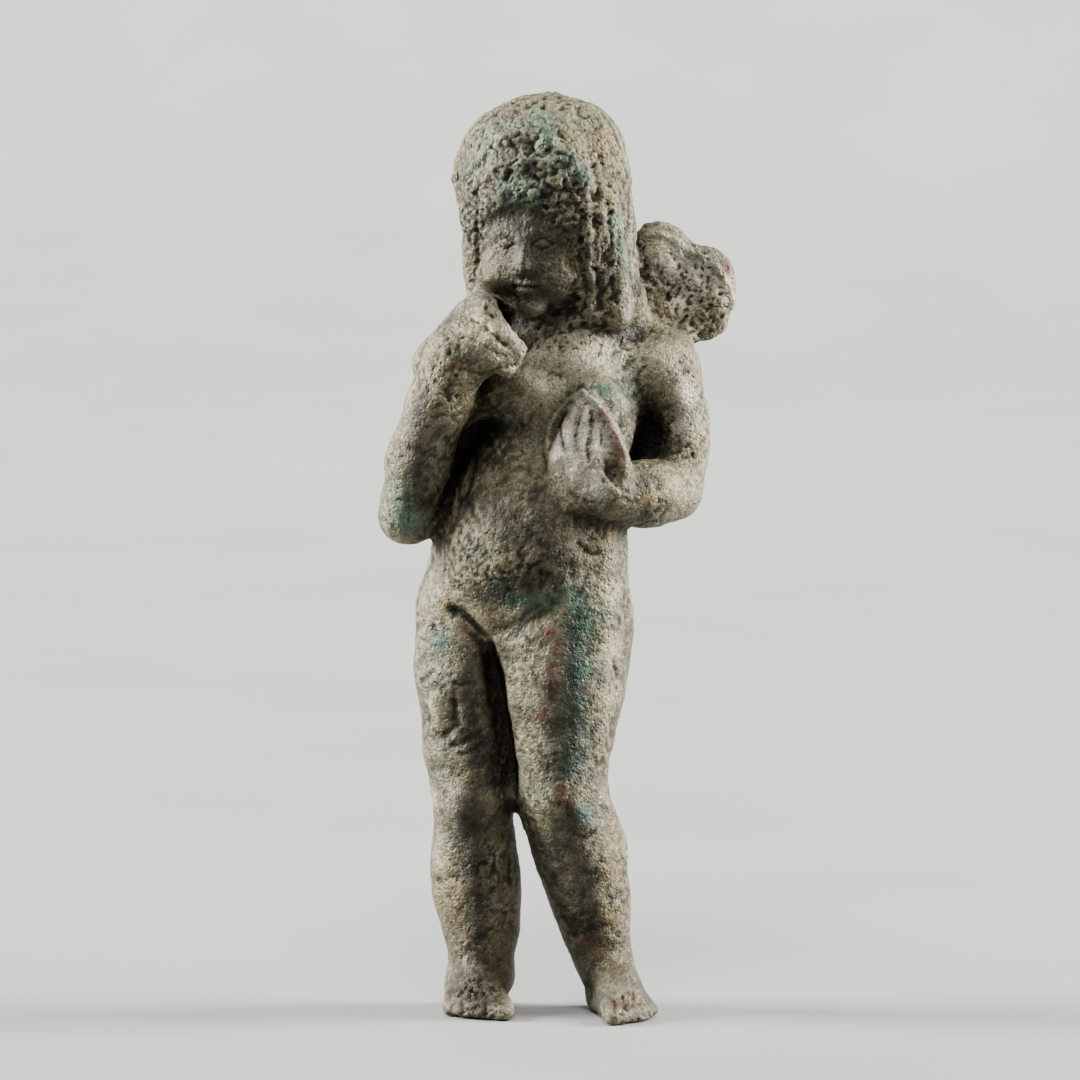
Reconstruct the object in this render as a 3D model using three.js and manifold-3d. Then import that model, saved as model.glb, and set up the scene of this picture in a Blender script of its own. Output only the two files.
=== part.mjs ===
// A small cast bronze figurine of a standing winged child, made as one solid casting.
// Millimetres, +Z up, the front of the figure towards -Y, the origin under the middle of its bounding box.
// "Right" and "left" are the figure's own. The figure is described as rounded masses that melt into each other,
// the way a wax model is built up and then carved, and that description is turned into one faceted solid.

import * as THREE from "three";
import { mergeVertices } from "three/addons/utils/BufferGeometryUtils.js";
import Module from "manifold-3d";

// Driving dimensions, in millimetres.
const FIGURE_HEIGHT = 68;
const SURFACE_STEP = 0.4;
const FACET_COUNT = 9200;

// The pose and the carving below are in hundredths of the figure's height.
const UNITS_TALL = 100;
const UNIT = FIGURE_HEIGHT / UNITS_TALL;

// How softly masses run into each other, in the same units.
const BROAD = 3;
const SOFT = 1.6;
const CLOSE = 0.8;
const CRISP = 0.35;

// Colour of the corroded surface.
const PATINA = { color: 0x77715f, roughness: 0.85, metalness: 0.25 };

// Turned frames

// A frame at an origin, turned in degrees: yaw about Z, then pitch about X (positive looks down), then roll about Y.
function frame(origin, [yaw, pitch, roll] = [0, 0, 0], parent = new THREE.Matrix4()) {
  const [x, y, z] = [pitch, roll, yaw].map(THREE.MathUtils.degToRad);
  const turned = new THREE.Matrix4().makeRotationFromEuler(new THREE.Euler(x, y, z, "ZXY"));
  turned.setPosition(...origin);
  return parent.clone().multiply(turned);
}

const WORLD = frame([0, 0, 0]);

const pointIn = (place, [x, y, z]) => new THREE.Vector3(x, y, z).applyMatrix4(place);

// Rounded masses: each has a distance function and a ball that holds it

// An ellipsoid, its radii along the axes of its own turned frame.
function egg(place, centre, radii, turn) {
  const own = frame(centre, turn, place);
  const [a, b, c] = radii;
  const e = own.clone().invert().elements;
  const distance = (x, y, z) => {
    const u = (e[0] * x + e[4] * y + e[8] * z + e[12]) / a;
    const v = (e[1] * x + e[5] * y + e[9] * z + e[13]) / b;
    const w = (e[2] * x + e[6] * y + e[10] * z + e[14]) / c;
    const near = Math.sqrt(u * u + v * v + w * w);
    const slope = Math.sqrt((u / a) ** 2 + (v / b) ** 2 + (w / c) ** 2);
    return slope > 0 ? (near * (near - 1)) / slope : -Math.min(a, b, c);
  };
  return { distance, middle: pointIn(own, [0, 0, 0]), reach: Math.max(a, b, c) };
}

// A length with a round section that runs from one radius to another, with round ends.
function bone(place, start, startRadius, end, endRadius) {
  const from = pointIn(place, start);
  const to = pointIn(place, end);
  const along = to.clone().sub(from);
  const length2 = along.lengthSq();
  const taper = startRadius - endRadius;
  const side = length2 - taper * taper;
  const distance = (x, y, z) => {
    const [px, py, pz] = [x - from.x, y - from.y, z - from.z];
    const t = px * along.x + py * along.y + pz * along.z;
    const s = t - length2;
    const across2 =
      (px * length2 - along.x * t) ** 2 + (py * length2 - along.y * t) ** 2 + (pz * length2 - along.z * t) ** 2;
    const bend = Math.sign(taper) * taper * taper * across2;
    if (Math.sign(s) * side * s * s * length2 > bend) return Math.sqrt(across2 + s * s * length2) / length2 - endRadius;
    if (Math.sign(t) * side * t * t * length2 < bend) {
      return Math.sqrt(across2 + t * t * length2) / length2 - startRadius;
    }
    return (Math.sqrt((across2 * side) / length2) + t * taper) / length2 - startRadius;
  };
  const middle = from.clone().lerp(to, 0.5);
  return { distance, middle, reach: Math.sqrt(length2) / 2 + Math.max(startRadius, endRadius) };
}

// The figure's clay: masses laid on and hollows cut out, one after another

const work = [];

function lay(shape, blend = SOFT) {
  work.push({ ...shape, blend, cuts: false });
}

function carve(shape, blend = CLOSE) {
  work.push({ ...shape, blend, cuts: true });
}

// A run of bones through stations of [x, y, z, radius].
function layRun(place, stations, blend = SOFT) {
  for (let i = 1; i < stations.length; i++) {
    const [start, end] = [stations[i - 1], stations[i]];
    lay(bone(place, start.slice(0, 3), start[3], end.slice(0, 3), end[3]), blend);
  }
}

function carveRun(place, stations, blend = CRISP) {
  for (let i = 1; i < stations.length; i++) {
    const [start, end] = [stations[i - 1], stations[i]];
    carve(bone(place, start.slice(0, 3), start[3], end.slice(0, 3), end[3]), blend);
  }
}

// Signed distance from the clay's surface, negative inside, true near the surface.
function clayAt(x, y, z) {
  let value = UNITS_TALL;
  for (const { distance, middle, reach, blend, cuts } of work) {
    const far2 = (x - middle.x) ** 2 + (y - middle.y) ** 2 + (z - middle.z) ** 2;
    const near = reach + blend + (cuts ? -value : value);
    if (near <= 0 || far2 > near * near) continue;
    const own = cuts ? -distance(x, y, z) : distance(x, y, z);
    const mix = Math.max(blend - Math.abs(value - own), 0) / blend;
    const round = (mix * mix * blend) / 4;
    value = cuts ? Math.max(value, own) + round : Math.min(value, own) - round;
  }
  return value;
}

// Where the clay's surface lies at (x, z), met from the front (-1) or from the back (1).
function surfaceAt(x, z, side) {
  let y = 16 * side;
  for (let n = 0; n < 80; n++) {
    const gap = clayAt(x, y, z);
    if (gap < 0.02) break;
    y -= side * gap * 0.8;
  }
  return y;
}

// A groove that follows the surface through points of [x, z], as deep and as wide as it is told to be.
function groove(points, depth, width, side = -1) {
  const pieceLength = 1.5;
  const path = [];
  for (let i = 1; i < points.length; i++) {
    const [[x0, z0], [x1, z1]] = [points[i - 1], points[i]];
    const pieces = Math.ceil(Math.hypot(x1 - x0, z1 - z0) / pieceLength);
    for (let n = i === 1 ? 0 : 1; n <= pieces; n++) {
      path.push([x0 + ((x1 - x0) * n) / pieces, z0 + ((z1 - z0) * n) / pieces]);
    }
  }
  const radius = width / 2;
  const stations = path.map(([x, z]) => [x, surfaceAt(x, z, side) + side * (radius - depth), z, radius]);
  carveRun(WORLD, stations, CLOSE);
}

// The trunk, turned a little to the figure's right and leaning over the standing leg

const TRUNK_YAW = -16;
const TRUNK = frame([-1.6, 0, 43], [TRUNK_YAW, 0, 0]);
const CHEST = frame([2.2, 0, 66], [TRUNK_YAW, 2, 7]);
const RIGHT_SHOULDER = [-8.9, 1.6, 70.0];
const LEFT_SHOULDER = [13.2, 1.0, 69.8];

function trunk() {
  lay(egg(TRUNK, [-0.4, 0.4, 0.4], [11.6, 7.0, 8.6]), BROAD);
  lay(egg(TRUNK, [0.4, -0.2, 7.4], [11.0, 7.0, 8.4]), BROAD);
  lay(egg(TRUNK, [0.8, -0.8, 12], [9.3, 7.0, 8.8]), BROAD);
  lay(egg(CHEST, [-0.3, 0.2, -1.5], [8.6, 6.6, 10]), BROAD);
  lay(bone(WORLD, RIGHT_SHOULDER, 3.9, LEFT_SHOULDER, 3.8), BROAD);
  // Belly, breast, shoulder blades and buttocks.
  lay(egg(TRUNK, [-0.2, -3.6, 9.0], [6.8, 4.8, 6.8]), BROAD);
  for (const side of [-1, 1]) {
    lay(egg(CHEST, [4.3 * side, -4.6, 1.6], [4.2, 2.4, 3.2]), SOFT);
    lay(egg(CHEST, [4.8 * side, 4.6, 1.5], [3.6, 2.4, 4.6]), SOFT);
    lay(egg(TRUNK, [4.9 * side, 3.6, -1.4], [5.2, 4.4, 5.6]), BROAD);
  }
  // The webs of metal that close the crooks of both arms behind.
  lay(egg(WORLD, [-9.2, 2.2, 60.5], [3.4, 2.2, 8.0]), SOFT);
  lay(egg(WORLD, [11.4, 2.6, 63.0], [4.4, 2.2, 7.0]), SOFT);
  // Spine and the cleft between the buttocks.
  carveRun(CHEST, [[0, 7.3, 6, 0.8], [0, 6.9, -6, 0.8], [-2.6, 7.4, -14, 0.7]], SOFT);
  carveRun(TRUNK, [[0, 8.9, 2.2, 0.6], [0, 9.0, -6.5, 0.9]], CLOSE);
}

function neck() {
  lay(bone(WORLD, [1.6, 0.8, 80], 4.3, [2.6, 0.8, 73], 4.9), SOFT);
}

// Legs: stations run from hip to ankle

const RIGHT_ANKLE = [-6.4, 1.4, 5.6];
const LEFT_ANKLE = [6.4, 0.4, 5.6];

function legs() {
  layRun(WORLD, [
    [-8.0, 0.6, 44, 5.7],
    [-8.4, 0.4, 37.5, 5.3],
    [-8.1, 0.0, 29.5, 4.6],
    [-7.5, -0.2, 24.5, 4.3],
    [-7.5, 0.4, 19.5, 3.9],
    [-7.4, 0.8, 16.3, 4.1],
    [-7.0, 1.2, 12.6, 4.4],
    [-6.6, 1.4, 9.0, 3.9],
    [...RIGHT_ANKLE, 3.3],
  ]);
  lay(egg(WORLD, [-7.6, -3.4, 24.3], [2.7, 1.6, 3.0]), SOFT);
  lay(egg(WORLD, [-7.3, 2.8, 15.5], [3.9, 3.2, 5.6]), BROAD);
  layRun(WORLD, [
    [2.0, -0.6, 44, 7.2],
    [1.8, -1.1, 36.5, 6.8],
    [1.9, -1.9, 29.3, 5.4],
    [1.9, -2.2, 25.4, 4.7],
    [2.9, -1.7, 21.6, 4.6],
    [4.3, -0.8, 17.0, 4.4],
    [5.2, -0.2, 12.6, 4.0],
    [5.8, 0.2, 9.4, 3.4],
    [...LEFT_ANKLE, 3.0],
  ]);
  lay(egg(WORLD, [3.8, 1.2, 38.0], [5.5, 5.0, 10]), SOFT);
  lay(egg(WORLD, [1.7, -5.8, 24.6], [2.6, 1.6, 3.0]), SOFT);
  lay(egg(WORLD, [4.2, 1.0, 17.2], [4.0, 3.4, 5.6]), BROAD);
}

// Worn folds where the thighs meet the belly and each other.
function groin() {
  groove([[-9.4, 44.7], [-7.6, 43.0], [-6.3, 41.0], [-5.4, 38.6]], 0.9, 1.1);
  groove([[-5.4, 38.6], [-4.7, 35], [-3.9, 30.5], [-3.1, 26]], 1.3, 1.8);
  groove([[-5.4, 41.6], [-2.6, 43.2], [0.8, 45.4]], 0.35, 1.2);
}

// Feet: the right one points ahead, the left one is turned out

// The side is 1 where the little toe is towards +X.
function foot([x, y], side, turnOut, [heelReach, toeReach], width, toeSlant) {
  const place = frame([x, y, 0], [turnOut, 0, 0]);
  lay(egg(place, [0, heelReach - 2.5, 1.4], [width * 0.34, 2.6, 2.6]), SOFT);
  lay(bone(place, [0, 0.4, 5.2], 2.7, [0, -toeReach * 0.36, 2.9], 2.3), SOFT);
  lay(bone(place, [0, 0, 0.6], width * 0.31, [0, -toeReach + 4.4, 0.4], width * 0.41), SOFT);
  const toes = 5;
  const toeRadius = width / toes / 1.75;
  for (let i = 0; i < toes; i++) {
    const outward = i / (toes - 1);
    const across = side * (outward - 0.5) * width;
    const radius = toeRadius * (1.15 - 0.3 * outward);
    const tip = -toeReach + radius + toeSlant * outward ** 1.5;
    lay(bone(place, [across * 0.72, tip + 3.0, 1.5], radius, [across * 0.82, tip, 0.9], radius), CLOSE);
  }
}

function feet() {
  foot([-6.9, 1.4], -1, -2, [3.0, 8.8], 7.8, 2.6);
  lay(egg(WORLD, [-6.8, 0.2, 3.4], [3.9, 3.0, 2.0]), SOFT);
  foot([7.3, 0.4], 1, 19, [2.4, 10.4], 7.2, 3.2);
}

// Right arm: bent double, the hand brought up under the chin

const RIGHT_ELBOW = [-14.6, -0.9, 54.6];
const RIGHT_WRIST = [-9.2, -6.9, 72.0];

function rightArm() {
  layRun(WORLD, [
    [...RIGHT_SHOULDER, 4.1],
    [-11.8, 1.5, 62, 3.6],
    [...RIGHT_ELBOW, 3.0],
  ]);
  layRun(WORLD, [
    [RIGHT_ELBOW[0], RIGHT_ELBOW[1] - 1.2, RIGHT_ELBOW[2] - 0.3, 2.9],
    [-13.4, -4.0, 60.6, 3.3],
    [-11.2, -5.9, 67.0, 3.2],
    [...RIGHT_WRIST, 3.2],
  ]);
  // The hair and the shoulder run into the wrist behind it.
  lay(bone(WORLD, [-7.6, -3.2, 76.4], 1.9, [-11.2, -1.8, 70.8], 2.9), SOFT);
}

// The hand is a worn mitten, its curled fingers pressed to the breast and its forefinger up beside the chin.
function rightHand() {
  lay(bone(WORLD, RIGHT_WRIST, 3.1, [-5.9, -7.8, 73.2], 2.7), SOFT);
  const fingers = 3;
  for (let i = 0; i < fingers; i++) {
    const down = i * 1.25;
    const knuckle = [-4.6 - 0.6 * i, -9.4, 75.0 - down];
    lay(bone(WORLD, knuckle, 1.0, [-2.2 - 0.7 * i, -8.5, 73.0 - down], 0.85), CLOSE);
  }
  layRun(WORLD, [[-5.2, -8.2, 74.6, 1.3], [-6.0, -7.2, 76.8, 1.3], [-6.4, -5.6, 79.0, 1.1]], SOFT);
  layRun(WORLD, [[-8.2, -7.4, 73.6, 1.4], [-8.0, -5.8, 76.8, 1.3]], SOFT);
  // The bump of the breast inside the crook of the arm.
  lay(egg(WORLD, [-8.1, -3.6, 66.4], [2.0, 1.8, 2.1]), SOFT);
}

// Left arm: bent at a right angle, the open hand held flat before the breast

const LEFT_ELBOW = [13.9, -1.6, 57.2];
const LEFT_WRIST = [7.4, -7.0, 57.7];

function leftArm() {
  layRun(WORLD, [
    [...LEFT_SHOULDER, 3.8],
    [15.3, 0.9, 65.2, 2.4],
    [15.7, 0.5, 61.4, 2.3],
    [...LEFT_ELBOW, 3.2],
  ]);
  layRun(WORLD, [
    [...LEFT_ELBOW, 3.2],
    [11.4, -4.5, 57.1, 3.4],
    [...LEFT_WRIST, 3.0],
  ]);
}

function leftHand() {
  lay(egg(WORLD, [4.9, -8.1, 60.0], [4.3, 1.9, 4.7]), CLOSE);
  const fingers = [
    [[1.9, 61.5], [3.5, 66.2]],
    [[3.2, 61.0], [4.3, 67.6]],
    [[4.7, 61.0], [5.0, 67.4]],
    [[6.1, 61.5], [5.7, 66.0]],
  ];
  for (const [[x0, z0], [x1, z1]] of fingers) {
    lay(bone(WORLD, [x0, -8.7, z0], 1.1, [x1, -7.8, z1], 0.8), CLOSE);
  }
  layRun(WORLD, [[7.6, -8.4, 57.6, 1.5], [8.7, -8.7, 60.4, 1.1], [8.0, -8.5, 63, 1.0], [6.7, -8.0, 65.8, 0.8]], CRISP);
  carve(egg(WORLD, [7.3, -10.3, 60.0], [0.9, 1.3, 1.4]), CLOSE);
}

// Head: turned towards the raised hand and bent a little forward

const HEAD = frame([0.1, 0.3, 87.2], [-17, 5, 0]);
const SKULL_CENTRE = [0.1, 1.4, 2.4];
const SKULL_RADII = [9.0, 8.6, 10.4];

function skull() {
  lay(egg(HEAD, SKULL_CENTRE, SKULL_RADII), SOFT);
  lay(egg(HEAD, [0, -1.7, -3.4], [6.2, 5.6, 7.4]), SOFT);
  // The hair's mass swells to both sides above.
  lay(egg(WORLD, [3.5, 1.8, 92.7], [5.4, 6.2, 6.3]), SOFT);
  lay(egg(WORLD, [-3.7, 0.4, 91.6], [5.5, 6.4, 6.5]), SOFT);
}

// A calm child's face: brow, nose base and chin a third of the face apart, an eye's width between the eyes.
const BROW_LEVEL = -1.4;
const EYE_LEVEL = -2.6;
const NOSE_BASE = -5.5;
const MOUTH_LEVEL = -7.3;
const CHIN_LEVEL = -9.4;
const EYE_APART = 2.1;

function face() {
  lay(egg(HEAD, [0, -5.9, CHIN_LEVEL], [1.8, 1.4, 1.3]), CLOSE);
  for (const side of [-1, 1]) {
    lay(egg(HEAD, [2.9 * side, -4.9, -6.0], [2.4, 2.1, 2.6]), SOFT);
    lay(bone(HEAD, [0.9 * side, -6.9, BROW_LEVEL], 0.5, [4.0 * side, -5.7, BROW_LEVEL - 0.1], 0.5), CLOSE);
    carve(egg(HEAD, [EYE_APART * side, -7.8, EYE_LEVEL], [1.3, 1.1, 0.8]), CLOSE);
    lay(egg(HEAD, [EYE_APART * side, -6.2, EYE_LEVEL], [1.1, 0.8, 0.6]), CRISP);
    lay(egg(HEAD, [0.7 * side, -7.3, NOSE_BASE + 0.4], [0.5, 0.6, 0.45]), CRISP);
  }
  lay(bone(HEAD, [0, -6.9, BROW_LEVEL], 0.5, [0, -7.8, NOSE_BASE + 0.6], 0.75), CLOSE);
  lay(egg(HEAD, [0, -6.9, MOUTH_LEVEL + 0.4], [1.5, 0.7, 0.45]), CRISP);
  lay(egg(HEAD, [0, -6.8, MOUTH_LEVEL - 0.45], [1.2, 0.7, 0.45]), CRISP);
}

// A point of the skull's front at (x, z) in the head's own frame.
function onSkull(x, z) {
  const [[cx, cy, cz], [a, b, c]] = [SKULL_CENTRE, SKULL_RADII];
  const share = 1 - ((x - cx) / a) ** 2 - ((z - cz) / c) ** 2;
  return [x, cy - b * Math.sqrt(Math.max(share, 0)), z];
}

// Hair: worn curls in rows round the face, strands that fall to the shoulders and a smooth mass behind.
function hair() {
  const rows = [
    { across: 6.1, up: 6.6, reach: 82, curls: 11, size: 1.5 },
    { across: 7.0, up: 9.2, reach: 66, curls: 9, size: 1.7 },
    { across: 7.4, up: 11.8, reach: 52, curls: 7, size: 1.7 },
  ];
  const rowCentre = -3.4;
  for (const [row, { across, up, reach, curls, size }] of rows.entries()) {
    for (let i = 0; i < curls; i++) {
      const turn = THREE.MathUtils.degToRad((2 * i) / (curls - 1) - 1) * reach;
      const place = onSkull(across * Math.sin(turn), rowCentre + up * Math.cos(turn));
      const swell = 1 + 0.14 * Math.sin(2.4 * i + 1.7 * row);
      lay(egg(HEAD, place, [size * swell, 1.25, size], [0, 0, (turn * 180) / Math.PI]), CRISP);
    }
  }
  for (const side of [-1, 1]) lay(egg(HEAD, [5.6 * side, 1.2, -6.0], [2.6, 5.2, 8.4]), SOFT);
  layRun(HEAD, [[-6.7, -3.0, 1.0, 1.5], [-6.8, -2.4, -4.5, 1.3], [-6.7, -1.8, -9.6, 1.4]], SOFT);
  layRun(HEAD, [[5.9, -4.6, 0.8, 1.6], [6.3, -3.8, -4.5, 1.5], [6.2, -3.0, -9.8, 1.6]], CLOSE);
  layRun(HEAD, [[7.6, -3.0, 2.2, 1.7], [8.2, -2.2, -4.0, 1.6], [8.5, -1.6, -11.0, 1.8]], CLOSE);
  lay(egg(HEAD, [-7.8, -1.8, 3.4], [1.7, 2.4, 2.4]), CLOSE);
  lay(egg(WORLD, [2.0, 4.0, 79.5], [8.6, 4.8, 8.6]), SOFT);
  lay(bone(WORLD, [7.3, 1.6, 86], 2.5, [7.9, 1.4, 77], 2.8), SOFT);
}

// Wing: the stub left of the left one, its feathers worn to lobes, and the low root of the right one behind

const WING = frame([14.6, 5.4, 78.6]);

function wings() {
  lay(bone(WORLD, [6.5, 4.2, 73.5], 3.4, [12.6, 5.0, 77.5], 2.6), BROAD);
  lay(egg(WORLD, [12.6, 3.8, 73.4], [4.0, 2.6, 2.6]), SOFT);
  lay(egg(WING, [-1.9, 0, 2.2], [4.2, 2.1, 5.3]), CLOSE);
  lay(egg(WING, [2.7, 0.1, 0.4], [4.0, 2.0, 4.4]), CLOSE);
  lay(egg(WING, [1.9, 0.1, -3.0], [4.2, 1.9, 3.1]), CLOSE);
  // The worn hollow in front, inside the rim, and two feather lines behind.
  carve(egg(WING, [0.8, -2.5, -0.4], [4.6, 1.1, 3.8]), SOFT);
  groove([[12.5, 78.6], [17.6, 82.0]], 0.3, 1.0, 1);
  groove([[12.8, 76.6], [19.4, 77.6]], 0.3, 1.0, 1);
  lay(egg(WORLD, [-6.0, 5.4, 72.0], [3.0, 2.0, 4.6], [0, 0, -12]), BROAD);
}

function figure() {
  trunk();
  neck();
  legs();
  feet();
  groin();
  rightArm();
  leftArm();
  skull();
  face();
  hair();
  wings();
  rightHand();
  leftHand();
}

// From clay to a closed skin of triangles

// Splits the space round the clay into small cubes and those into six tetrahedra each, all the same way,
// and lays triangles where the surface crosses them. The skin that this gives is always closed.
function skinOf(low, high, step) {
  const size = high.clone().sub(low).divideScalar(step).ceil().addScalar(1);
  const [nx, ny, nz] = size.toArray();
  const strideOf = [1, nx, nx * ny];
  const values = new Float32Array(nx * ny * nz);
  for (let k = 0, at = 0; k < nz; k++) {
    for (let j = 0; j < ny; j++) {
      for (let i = 0; i < nx; i++, at++) {
        const value = clayAt(low.x + i * step, low.y + j * step, low.z + k * step);
        values[at] = value === 0 ? Number.EPSILON : value;
      }
    }
  }
  const positions = [];
  const triangles = [];
  const vertexOnEdge = new Map();
  // The crossing on the edge between two grid corners, kept off its ends so that no triangle is a sliver.
  const endShare = 0.1;
  const crossing = (a, b) => {
    const [first, last] = a < b ? [a, b] : [b, a];
    const key = first * 8 * nx * ny + (last - first);
    if (vertexOnEdge.has(key)) return vertexOnEdge.get(key);
    const raw = values[first] / (values[first] - values[last]);
    const share = Math.min(Math.max(raw, endShare), 1 - endShare);
    const corner = (n) => [n % nx, Math.floor(n / nx) % ny, Math.floor(n / (nx * ny))];
    const [from, to] = [corner(first), corner(last)];
    const index = positions.length / 3;
    from.forEach((f, axis) => positions.push(low.getComponent(axis) + (f + (to[axis] - f) * share) * step));
    vertexOnEdge.set(key, index);
    return index;
  };
  const orders = [[0, 1, 2], [1, 2, 0], [2, 0, 1], [0, 2, 1], [2, 1, 0], [1, 0, 2]];
  const tetrahedra = orders.map((order, n) => {
    const corners = [0];
    for (const axis of order) corners.push(corners.at(-1) + strideOf[axis]);
    return { corners, rightHanded: n < 3 };
  });
  const lay3 = (a, b, c, flip) => (flip ? triangles.push(a, c, b) : triangles.push(a, b, c));
  for (let k = 0; k < nz - 1; k++) {
    for (let j = 0; j < ny - 1; j++) {
      for (let i = 0; i < nx - 1; i++) {
        const base = i * strideOf[0] + j * strideOf[1] + k * strideOf[2];
        for (const { corners, rightHanded } of tetrahedra) {
          const c = corners.map((offset) => base + offset);
          const inside = [0, 1, 2, 3].filter((n) => values[c[n]] < 0);
          if (inside.length === 0 || inside.length === 4) continue;
          const outside = [0, 1, 2, 3].filter((n) => values[c[n]] >= 0);
          // The parity of the corners' order says which way round the triangle faces out.
          const order = [...inside, ...outside];
          let swaps = 0;
          for (let a = 0; a < 4; a++) for (let b = a + 1; b < 4; b++) if (order[a] > order[b]) swaps++;
          const flip = (swaps % 2 === 0) !== rightHanded;
          const [p, q, r, s] = order.map((n) => c[n]);
          if (inside.length === 1) {
            lay3(crossing(p, q), crossing(p, r), crossing(p, s), flip);
          } else if (inside.length === 3) {
            lay3(crossing(s, p), crossing(s, q), crossing(s, r), flip);
          } else {
            lay3(crossing(p, r), crossing(p, s), crossing(q, s), flip);
            lay3(crossing(p, r), crossing(q, s), crossing(q, r), flip);
          }
        }
      }
    }
  }
  return { positions, triangles };
}

// Evens the skin out along the surface, then draws each vertex back onto it.
function settle({ positions, triangles }, step) {
  const count = positions.length / 3;
  const passes = 2;
  const nudge = step / 8;
  for (let pass = 0; pass < passes; pass++) {
    const sums = new Float64Array(count * 3);
    const tally = new Uint16Array(count);
    for (let t = 0; t < triangles.length; t += 3) {
      for (let n = 0; n < 3; n++) {
        const [a, b] = [triangles[t + n], triangles[t + ((n + 1) % 3)]];
        for (let axis = 0; axis < 3; axis++) sums[a * 3 + axis] += positions[b * 3 + axis];
        tally[a]++;
      }
    }
    for (let v = 0; v < count; v++) {
      const [x, y, z] = [0, 1, 2].map((axis) => (positions[v * 3 + axis] + sums[v * 3 + axis] / tally[v]) / 2);
      const here = clayAt(x, y, z);
      const gx = (clayAt(x + nudge, y, z) - here) / nudge;
      const gy = (clayAt(x, y + nudge, z) - here) / nudge;
      const gz = (clayAt(x, y, z + nudge) - here) / nudge;
      const pull = Math.min(Math.max(here, -step), step) / Math.max(gx * gx + gy * gy + gz * gz, 0.25);
      positions[v * 3] = x - gx * pull;
      positions[v * 3 + 1] = y - gy * pull;
      positions[v * 3 + 2] = z - gz * pull;
    }
  }
  return { positions, triangles };
}

// Fewer, larger triangles: edges are closed up one by one, the ones that change the shape least first

// Adds to a vertex's quadric the squared distance to a plane, weighted by the triangle's area.
function addPlane(quadrics, vertex, [a, b, c, d], weight) {
  const q = vertex * 10;
  const terms = [a * a, a * b, a * c, a * d, b * b, b * c, b * d, c * c, c * d, d * d];
  terms.forEach((term, n) => (quadrics[q + n] += term * weight));
}

function quadricError(q, x, y, z) {
  return (
    q[0] * x * x + 2 * q[1] * x * y + 2 * q[2] * x * z + 2 * q[3] * x +
    q[4] * y * y + 2 * q[5] * y * z + 2 * q[6] * y + q[7] * z * z + 2 * q[8] * z + q[9]
  );
}

// The point where a quadric's error is least, or null where the surface is too flat to say.
function leastErrorPoint(q) {
  const [a, b, c, d, e, f, g, h, i] = q;
  const [m1, m2, m3] = [e * h - f * f, c * f - b * h, b * f - c * e];
  const determinant = a * m1 + b * m2 + c * m3;
  if (Math.abs(determinant) < 1e-9 * (a + e + h) ** 3) return null;
  const [m4, m5, m6] = [a * h - c * c, b * c - a * f, a * e - b * b];
  return [
    -(m1 * d + m2 * g + m3 * i) / determinant,
    -(m2 * d + m4 * g + m5 * i) / determinant,
    -(m3 * d + m5 * g + m6 * i) / determinant,
  ];
}

// A heap that gives back the entry with the least cost first.
class Heap {
  constructor() {
    this.items = [];
  }

  push(item) {
    const { items } = this;
    let at = items.push(item) - 1;
    while (at > 0) {
      const up = (at - 1) >> 1;
      if (items[up].cost <= item.cost) break;
      items[at] = items[up];
      at = up;
    }
    items[at] = item;
  }

  pop() {
    const { items } = this;
    const top = items[0];
    const last = items.pop();
    if (items.length === 0) return top;
    let at = 0;
    for (;;) {
      let down = 2 * at + 1;
      if (down >= items.length) break;
      if (down + 1 < items.length && items[down + 1].cost < items[down].cost) down++;
      if (items[down].cost >= last.cost) break;
      items[at] = items[down];
      at = down;
    }
    items[at] = last;
    return top;
  }
}

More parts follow.
